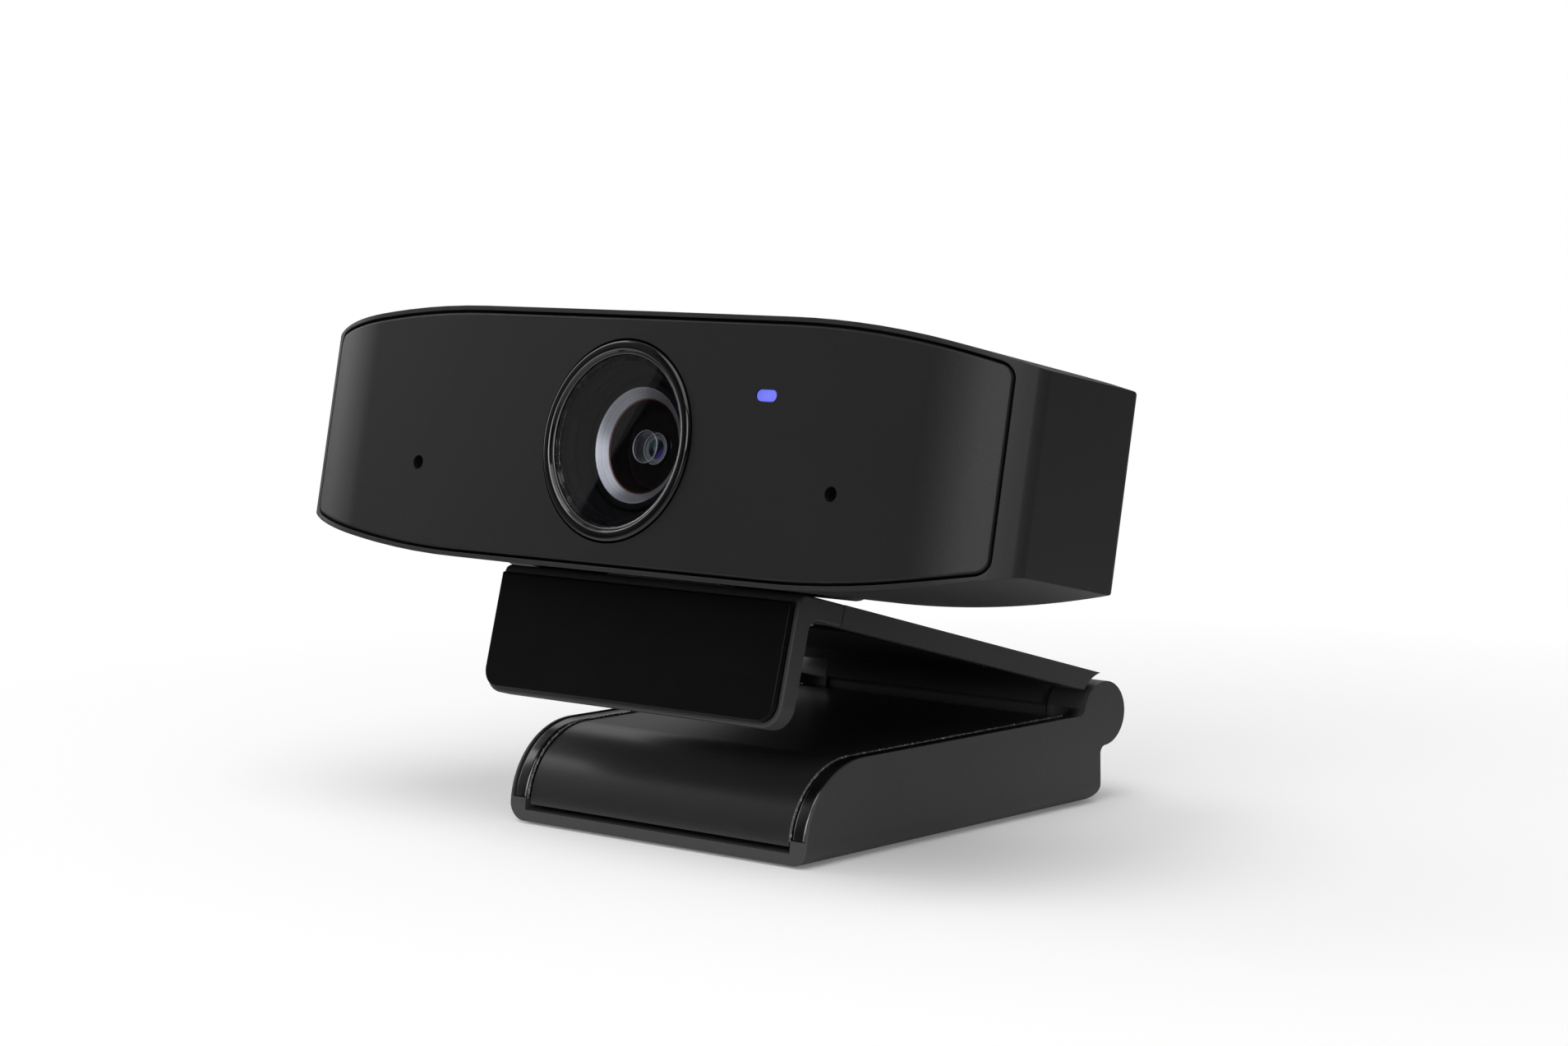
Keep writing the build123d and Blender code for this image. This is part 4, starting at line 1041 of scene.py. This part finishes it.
def lens_cap(lens):
    """Thin clear cap over the inner element."""
    floor = bowl_bottom(lens)
    front = floor - lens.cap_length
    wall = lens.cap_wall
    radius = lens.cap_radius
    outside = [
        (0, front - 2 * wall, 0), (0.55 * radius, front - 1.6 * wall, 2 * wall), (radius, front, wall / 2),
        (radius, floor, 0),
    ]
    inside = [
        (radius - wall / 3, floor, 0), (radius - wall, front + wall, wall / 2),
        (0.5 * radius, front - 0.6 * wall, 2 * wall), (0, front - wall, 0),
    ]
    outline = rounded(outside + inside)
    cap = mesh_from(turned(outline, lens.steps // 2), "lens_cap_visual", HEAD)
    dressed("lens_cap_visual", cap, [window_glass()], "head")


# Tilt hinge

def tilt_barrels(hinge):
    """Round shoulders under the head, about the tilt axis, on both sides of the neck."""
    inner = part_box("neck_bracket")[1].x + hinge.room
    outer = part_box("arm")[1].x + hinge.shoulder_reach
    edge = hinge.shoulder_edge
    radius = hinge.shoulder_radius
    section = rounded([(0, inner, 0), (radius, inner, edge), (radius, outer, edge), (0, outer, 0)])
    across = Matrix.Translation(PIVOTS["head_tilt"]) @ Matrix.Rotation(-pi / 2, 4, "Z")
    shoulders = [turned(section, hinge.steps) for side in range(2)]
    bmesh.ops.transform(shoulders[1], matrix=Matrix.Rotation(pi, 4, "Z"), verts=shoulders[1].verts)
    mesh = mesh_from(together(shoulders), "tilt_barrels_visual", across)
    dressed("tilt_barrels_visual", mesh, [shell_satin()], "head")


# Leg trim, as node trees that follow the leg's outline

BEAD_CORNER_POINTS = 5
RIDGE_LEAST = (0.6, 0.5, 0.5)
RIDGE_MOST = (1.0, 1.0, 1.0)


def leg_path(set_in, lowest, last):
    """Points set in from the leg's outline, up its round front and back along its roof."""
    radius = LEG_FRONT_HEIGHT - LEG_FOOT_RISE - set_in
    roof_start = LEG_LOW.y + LEG_FRONT_HEIGHT - LEG_FOOT_RISE
    fall = (LEG_FRONT_HEIGHT - LEG_REAR_HEIGHT) / (LEG_LENGTH / 2 - roof_start)
    first = asin(max(lowest - LEG_FOOT_RISE, 0) / radius)
    turns = [first + (pi / 2 - first) * step / LEG_ARC_STEPS for step in range(LEG_ARC_STEPS + 1)]
    arc = [(roof_start - radius * cos(turn), LEG_FOOT_RISE + radius * sin(turn)) for turn in turns]
    return arc + [(last, LEG_FRONT_HEIGHT - set_in - fall * (last - roof_start))]


def path_pair(name, points, half):
    """A curve with the same path on both sides of the leg."""
    curve = bpy.data.curves.new(name, "CURVE")
    curve.dimensions = "3D"
    for side in (-1, 1):
        spline = curve.splines.new("POLY")
        spline.points.add(len(points) - 1)
        for point, (y, z) in zip(spline.points, points):
            point.co = (side * half, y, z, 1)
    return linked(name, curve)


def node_tree(name, inputs):
    """An empty geometry tree with its named inputs, and its two ends."""
    tree = bpy.data.node_groups.new(name, "GeometryNodeTree")
    tree.interface.new_socket("Geometry", in_out="INPUT", socket_type="NodeSocketGeometry")
    for label, kind in inputs.items():
        tree.interface.new_socket(label, in_out="INPUT", socket_type="NodeSocket" + kind)
    tree.interface.new_socket("Geometry", in_out="OUTPUT", socket_type="NodeSocketGeometry")
    return tree, add(tree, "NodeGroupInput").outputs, add(tree, "NodeGroupOutput").inputs


def bead_tree():
    """A bead with rounded crest edges, swept along a path."""
    tree, given, result = node_tree("bead_along_edge", {
        "Width": "Float", "Depth": "Float", "Crown": "Float", "Finish": "Material"})
    section = add(tree, "GeometryNodeCurvePrimitiveQuadrilateral", {
        "Width": given["Width"], "Height": given["Depth"]})
    round_section = add(tree, "GeometryNodeFilletCurve", {
        "Curve": section.outputs["Curve"], "Count": BEAD_CORNER_POINTS, "Radius": given["Crown"],
        "Limit Radius": True}, mode="POLY")
    facing = add(tree, "GeometryNodeSetCurveNormal", {
        "Curve": given["Geometry"], "Normal": (1, 0, 0)}, mode="FREE")
    swept = add(tree, "GeometryNodeCurveToMesh", {
        "Curve": facing.outputs["Curve"], "Profile Curve": round_section.outputs["Curve"], "Fill Caps": True})
    ending(tree, swept.outputs["Mesh"], given["Finish"], result["Geometry"])
    return tree


def ending(tree, shape, material, result):
    """Makes the copies real, gives them their finish and hands them on."""
    real = add(tree, "GeometryNodeRealizeInstances", {"Geometry": shape})
    painted = add(tree, "GeometryNodeSetMaterial", {
        "Geometry": real.outputs["Geometry"], "Material": material})
    feed(tree, result, painted.outputs["Geometry"])


def ridge_tree():
    """Uneven little ridges along a path."""
    tree, given, result = node_tree("ridges_along_groove", {
        "Pitch": "Float", "Height": "Float", "Width": "Float", "Seed": "Int", "Finish": "Material"})
    points = add(tree, "GeometryNodeCurveToPoints", {
        "Curve": given["Geometry"], "Length": given["Pitch"]}, mode="LENGTH")
    size = add(tree, "ShaderNodeCombineXYZ", {
        "X": given["Width"], "Y": given["Height"], "Z": given["Height"]})
    shape = add(tree, "GeometryNodeMeshIcoSphere", {"Radius": 1.0, "Subdivisions": 1})
    uneven = add(tree, "FunctionNodeRandomValue", {
        "Min": RIDGE_LEAST, "Max": RIDGE_MOST, "Seed": given["Seed"]}, data_type="FLOAT_VECTOR")
    scale = add(tree, "ShaderNodeVectorMath", {
        0: size.outputs["Vector"], 1: uneven.outputs["Value"]}, operation="MULTIPLY")
    copies = add(tree, "GeometryNodeInstanceOnPoints", {
        "Points": points.outputs["Points"], "Instance": shape.outputs["Mesh"],
        "Scale": scale.outputs["Vector"]})
    ending(tree, copies.outputs["Instances"], given["Finish"], result["Geometry"])
    return tree


def grown(name, path, tree, values):
    """Runs a geometry tree on a path and gives back the plain mesh."""
    modifier = path.modifiers.new(name, "NODES")
    modifier.node_group = tree
    for item in tree.interface.items_tree:
        if item.in_out == "INPUT" and item.name in values:
            modifier[item.identifier] = values[item.name]
    mesh = bpy.data.meshes.new_from_object(path.evaluated_get(bpy.context.evaluated_depsgraph_get()))
    bpy.data.objects.remove(path)
    if not mesh.polygons:
        raise RuntimeError(f"{name} has no faces")
    return mesh


def trim_inner_edge():
    """Where the beads begin, out from the leg's middle."""
    return min(abs(vert.co.x) for vert in frame["nodes"]["cover_trim"].data.vertices)


def edge_beads(trim):
    """Glossy beads inside the top edges of the leg's side walls."""
    inner_edge = trim_inner_edge()
    width = TRIM_HIGH.x - inner_edge
    points = leg_path(trim.bead_low + trim.bead_depth / 2, TRIM_LOW.z, TRIM_HIGH.y)
    path = path_pair("edge_bead_path", points, inner_edge + width / 2)
    mesh = grown("edge_beads_visual", path, bead_tree(), {
        "Width": width, "Depth": trim.bead_depth, "Crown": trim.bead_crown, "Finish": trim_gloss()})
    dressed("edge_beads_visual", mesh, [], "leg", ["cover_trim"])


def groove_ridges(trim):
    """Rough strip in the groove between each bead and the cover."""
    inner_edge = trim_inner_edge()
    width = inner_edge - COVER_HIGH.x
    points = leg_path(trim.groove_set, TRIM_LOW.z, TRIM_HIGH.y)
    path = path_pair("groove_path", points, COVER_HIGH.x + width / 2)
    mesh = grown("groove_ridges_visual", path, ridge_tree(), {
        "Pitch": trim.ridge_pitch, "Height": trim.ridge_height, "Width": width / 2, "Seed": trim.seed,
        "Finish": groove_sparkle()})
    dressed("groove_ridges_visual", mesh, [], "leg")


# Studio

def area_light(name, size, power, place):
    """A flat lamp in its place."""
    light = bpy.data.lights.new(name, "AREA")
    light.shape = "RECTANGLE"
    light.size, light.size_y = size
    light.energy = power
    linked(name, light).matrix_world = place


def lamp(name, place, size, power):
    """A soft square lamp that faces the object."""
    aim = (Vector(place) - Vector(LAMP_TARGET)).to_track_quat("Z", "Y")
    area_light(name, (size, size), power, Matrix.Translation(place) @ aim.to_matrix().to_4x4())


def camera_axes(studio):
    """The camera's right, up and back directions."""
    back = Vector(studio.camera_back).normalized()
    right = Vector(studio.camera_right)
    right = (right - back * right.dot(back)).normalized()
    return right, back.cross(right), back


def camera(studio):
    """The camera at the photograph's place."""
    right, up, back = camera_axes(studio)
    data = bpy.data.cameras.new("camera")
    data.sensor_fit = "HORIZONTAL"
    data.sensor_width = SENSOR
    data.lens = studio.lens
    data.clip_start = CLIP_START
    holder = linked("camera", data)
    turn = Matrix((right, up, back)).transposed().to_4x4()
    holder.matrix_world = Matrix.Translation(studio.camera_place) @ turn
    bpy.context.scene.camera = holder


def seen_in_window(studio, pixel):
    """The line of sight that the window mirrors at a pixel: where it meets the glass and where it goes on."""
    right, up, back = camera_axes(studio)
    across = (pixel[0] - PICTURE[0] / 2) / PICTURE[0] * SENSOR / studio.lens
    down = (pixel[1] - PICTURE[1] / 2) / PICTURE[0] * SENSOR / studio.lens
    sight = (right * across - up * down - back).normalized()
    eye = Vector(studio.camera_place)
    facing = HEAD.to_3x3() @ Vector((0, -1, 0))
    glass = HEAD @ Vector((0, bpy.context.scene.webcam_lens.window_front, 0))
    spot = eye + sight * ((glass - eye).dot(facing) / sight.dot(facing))
    return spot, sight.reflect(facing)


def veil_card(studio):
    """Dim card whose straight edge the window mirrors as a slanting veil."""
    ends = [spot + onward * VEIL_DISTANCE for spot, onward in (seen_in_window(studio, p) for p in VEIL_EDGE)]
    middle = (ends[0] + ends[1]) / 2
    onward = seen_in_window(studio, [(a + b) / 2 for a, b in zip(*VEIL_EDGE)])[1]
    along = (ends[0] - ends[1]).normalized()
    outward = along.cross(onward).normalized()
    if outward.x > 0:
        outward = -outward
    facing = outward.cross(along)
    if facing.dot(onward) < 0:
        along = -along
        facing = -facing
    width, height = VEIL_SIZE
    turn = Matrix((outward, along, facing)).transposed().to_4x4()
    place = Matrix.Translation(middle + outward * width / 2) @ turn
    area_light("veil_card", VEIL_SIZE, studio.veil * pi * width * height, place)


def blended(tree, factor, first, second):
    """A number between two others."""
    made = add(tree, "ShaderNodeMix", {"Factor": factor, "A": first, "B": second}, data_type="FLOAT")
    return made.outputs["Result"]


def indirect(tree, path):
    """One for what is mirrored or seen through glass."""
    return calculate(tree, "MAXIMUM", path["Is Glossy Ray"], path["Is Transmission Ray"])


def room(studio):
    """White behind the object, dim in front of it, and even light for the rest."""
    world = bpy.data.worlds.new("room")
    world.use_nodes = True
    tree = world.node_tree
    tree.nodes.clear()
    path = add(tree, "ShaderNodeLightPath").outputs
    direction = add(tree, "ShaderNodeTexCoord").outputs["Generated"]
    parts = add(tree, "ShaderNodeSeparateXYZ", {"Vector": direction}).outputs
    behind = spread(tree, parts["Y"], studio.front_tone, 1.0, *BEHIND_SPAN)
    above = spread(tree, parts["Z"], studio.low_tone, 1.0, *HEIGHT_SPAN)
    mirrored = calculate(tree, "MULTIPLY", behind, above)
    strength = blended(tree, indirect(tree, path), studio.room, mirrored)
    strength = blended(tree, path["Is Camera Ray"], strength, 1.0)
    background = add(tree, "ShaderNodeBackground", {"Color": (1, 1, 1, 1), "Strength": strength})
    add(tree, "ShaderNodeOutputWorld", {"Surface": background.outputs["Background"]})
    bpy.context.scene.world = world


def pale_floor(studio):
    """White floor that keeps the object's shadow and runs into the white behind it."""
    material, tree, shader, place = finish("pale_floor")
    shader.inputs["Roughness"].default_value = 0.9
    shader.inputs["Specular IOR Level"].default_value = 0.0
    away = distance(tree, place)
    path = add(tree, "ShaderNodeLightPath").outputs
    seen = calculate(tree, "MAXIMUM", path["Is Camera Ray"], indirect(tree, path))
    kept = spread(tree, away, 1.0, 0.0, *FLOOR_FADE)
    feed(tree, shader.inputs["Base Color"], shaded(tree, tuple(studio.floor), kept))
    near = blended(tree, path["Is Camera Ray"], studio.floor_near, studio.floor_lift)
    far = blended(tree, path["Is Camera Ray"], studio.floor_far, 1.0)
    lift = spread(tree, away, near, far, *FLOOR_FADE)
    shader.inputs["Emission Color"].default_value = (1, 1, 1, 1)
    feed(tree, shader.inputs["Emission Strength"], calculate(tree, "MULTIPLY", lift, seen))
    bm = bmesh.new()
    bmesh.ops.create_circle(bm, cap_ends=True, segments=FLOOR_SEGMENTS, radius=FLOOR_RADIUS)
    mesh = bpy.data.meshes.new("floor")
    bm.to_mesh(mesh)
    bm.free()
    mesh.materials.append(material)
    floor = linked("floor", mesh)


# Finish of each slot, and the fittings that show

SLOT_FINISHES = {
    "panel_satin": panel_satin,
    "shell_satin": shell_satin,
    "gloss_black": gloss_black,
    "clear_glass": inner_glass,
    "lens_black": barrel_black,
    "dark_liner": liner,
    "light_blue": light_blue,
    "steel": steel,
    "tin": tin,
    "brass": brass,
    "rubber": rubber,
    "board": board_green,
    "chip": chip_dark,
    "trim_gloss": trim_gloss,
    "leg_satin": leg_satin,
}
SLOTS = {part["node"]: part["material_slot"] for part in frame["record"]["subparts"]}
DARK_FITTINGS = {"hinge_washers": blackened_steel}
FITTINGS = {
    "usb_socket": "head", "case_screws": "head", "tilt_knuckle": "head", "neck_bracket": "arm",
    "lip_pad": "arm", "arm_pad": "arm", "foot_pad": "leg", "tripod_insert": "leg",
}


# Operators, one for each piece or group of like pieces

class WEBCAM_OT_back_shell(Operator):
    """Builds the back shell with its softened edges"""

    bl_idname = "webcam.back_shell"
    bl_label = "Back shell"

    def execute(self, context):
        edges = context.scene.webcam_edges
        softened_node("back_shell_visual", "rear_housing", edges.shell, shell_satin(), "head")
        return {"FINISHED"}


class WEBCAM_OT_front_panel(Operator):
    """Builds the front panel with its softened openings"""

    bl_idname = "webcam.front_panel"
    bl_label = "Front panel"

    def execute(self, context):
        edges = context.scene.webcam_edges
        softened_node("front_panel_visual", "front_panel", edges.panel, panel_satin(), "head")
        return {"FINISHED"}


class WEBCAM_OT_lens(Operator):
    """Builds the ring, the window, the dark stair, the barrel, the inner element and its cap"""

    bl_idname = "webcam.lens"
    bl_label = "Lens"

    def execute(self, context):
        lens = context.scene.webcam_lens
        for build in (lens_ring, lens_window, lens_stair, lens_barrel, front_element, lens_cap):
            build(lens)
        return {"FINISHED"}


class WEBCAM_OT_status_light(Operator):
    """Builds the status light"""

    bl_idname = "webcam.status_light"
    bl_label = "Status light"

    def execute(self, context):
        edges = context.scene.webcam_edges
        softened_node("status_light_visual", "light_pipe", edges.metal, light_blue(), "head")
        return {"FINISHED"}


class WEBCAM_OT_clip(Operator):
    """Builds the arm of the clip, its lip and the lip's smooth front"""

    bl_idname = "webcam.clip"
    bl_label = "Clip"

    def execute(self, context):
        edges = context.scene.webcam_edges
        softened_node("arm_visual", "arm", edges.arm, clip_satin(), "arm")
        softened_node("lip_visual", "lip_bracket", edges.lip, clip_satin(), "arm")
        softened_node("lip_face_visual", "lip_face", edges.panel, lip_gloss(), "arm")
        return {"FINISHED"}


class WEBCAM_OT_tilt_barrels(Operator):
    """Builds the round shoulders of the tilt hinge"""

    bl_idname = "webcam.tilt_barrels"
    bl_label = "Tilt barrels"

    def execute(self, context):
        tilt_barrels(context.scene.webcam_hinge)
        return {"FINISHED"}


class WEBCAM_OT_leg(Operator):
    """Builds the leg's tray and its curved cover"""

    bl_idname = "webcam.leg"
    bl_label = "Leg"

    def execute(self, context):
        edges = context.scene.webcam_edges
        softened_node("leg_tray_visual", "leg_tray", edges.leg, leg_satin(), "leg")
        softened_node("leg_cover_visual", "leg_cover", edges.leg, cover_satin(), "leg")
        return {"FINISHED"}


class WEBCAM_OT_edge_beads(Operator):
    """Sweeps the leg's glossy edge beads and fills the rough grooves beside them"""

    bl_idname = "webcam.edge_beads"
    bl_label = "Edge beads"

    def execute(self, context):
        trim = context.scene.webcam_trim
        edge_beads(trim)
        groove_ridges(trim)
        return {"FINISHED"}


class WEBCAM_OT_fittings(Operator):
    """Softens the metal and rubber fittings that show from below and behind"""

    bl_idname = "webcam.fittings"
    bl_label = "Fittings"

    def execute(self, context):
        edges = context.scene.webcam_edges
        for node, body in FITTINGS.items():
            slot = SLOTS[node]
            softened_node(f"{node}_visual", node, edges.metal, SLOT_FINISHES[slot](), body)
        return {"FINISHED"}


class WEBCAM_OT_inner_works(Operator):
    """Gives the pieces inside their finishes"""

    bl_idname = "webcam.inner_works"
    bl_label = "Inner works"

    def execute(self, context):
        for node, holder in frame["nodes"].items():
            for slot in holder.material_slots:
                slot.material = DARK_FITTINGS.get(node, SLOT_FINISHES[SLOTS[node]])()
        return {"FINISHED"}


class WEBCAM_OT_studio(Operator):
    """Sets up the camera, the floor, the lamps and the white room"""

    bl_idname = "webcam.studio"
    bl_label = "Studio"

    def execute(self, context):
        studio = context.scene.webcam_studio
        context.scene.view_settings.view_transform = "Standard"
        camera(studio)
        pale_floor(studio)
        room(studio)
        for name, (power, place, size) in LAMPS.items():
            lamp(name, place, size, getattr(studio, power))
        veil_card(studio)
        return {"FINISHED"}


OPERATORS = [
    WEBCAM_OT_inner_works,
    WEBCAM_OT_back_shell,
    WEBCAM_OT_front_panel,
    WEBCAM_OT_lens,
    WEBCAM_OT_status_light,
    WEBCAM_OT_clip,
    WEBCAM_OT_tilt_barrels,
    WEBCAM_OT_leg,
    WEBCAM_OT_edge_beads,
    WEBCAM_OT_fittings,
    WEBCAM_OT_studio,
]


class WEBCAM_PT_pieces(Panel):
    """Lists the pieces in the 3D view's sidebar."""

    bl_idname = "WEBCAM_PT_pieces"
    bl_label = "Webcam"
    bl_space_type = "VIEW_3D"
    bl_region_type = "UI"
    bl_category = "Webcam"

    def draw(self, context):
        """Shows the operators, then their settings."""
        for operator in OPERATORS:
            self.layout.operator(operator.bl_idname)
        for name, group in SETTINGS.items():
            box = self.layout.box()
            for key in group.__annotations__:
                box.prop(getattr(context.scene, name), key)


def register():
    """Adds the settings, the operators and the panel."""
    for group in SETTINGS.values():
        bpy.utils.register_class(group)
    for operator in [*OPERATORS, WEBCAM_PT_pieces]:
        bpy.utils.register_class(operator)
    for name, group in SETTINGS.items():
        setattr(bpy.types.Scene, name, PointerProperty(type=group))


def unregister():
    """Takes them away again."""
    for name in SETTINGS:
        delattr(bpy.types.Scene, name)
    for made in [WEBCAM_PT_pieces, *reversed(OPERATORS), *SETTINGS.values()]:
        bpy.utils.unregister_class(made)


def main():
    """Builds the whole scene."""
    register()
    for operator in OPERATORS:
        group, name = operator.bl_idname.split(".")
        getattr(getattr(bpy.ops, group), name)()
    bpy.context.view_layer.update()


if __name__ == "__main__":
    main()
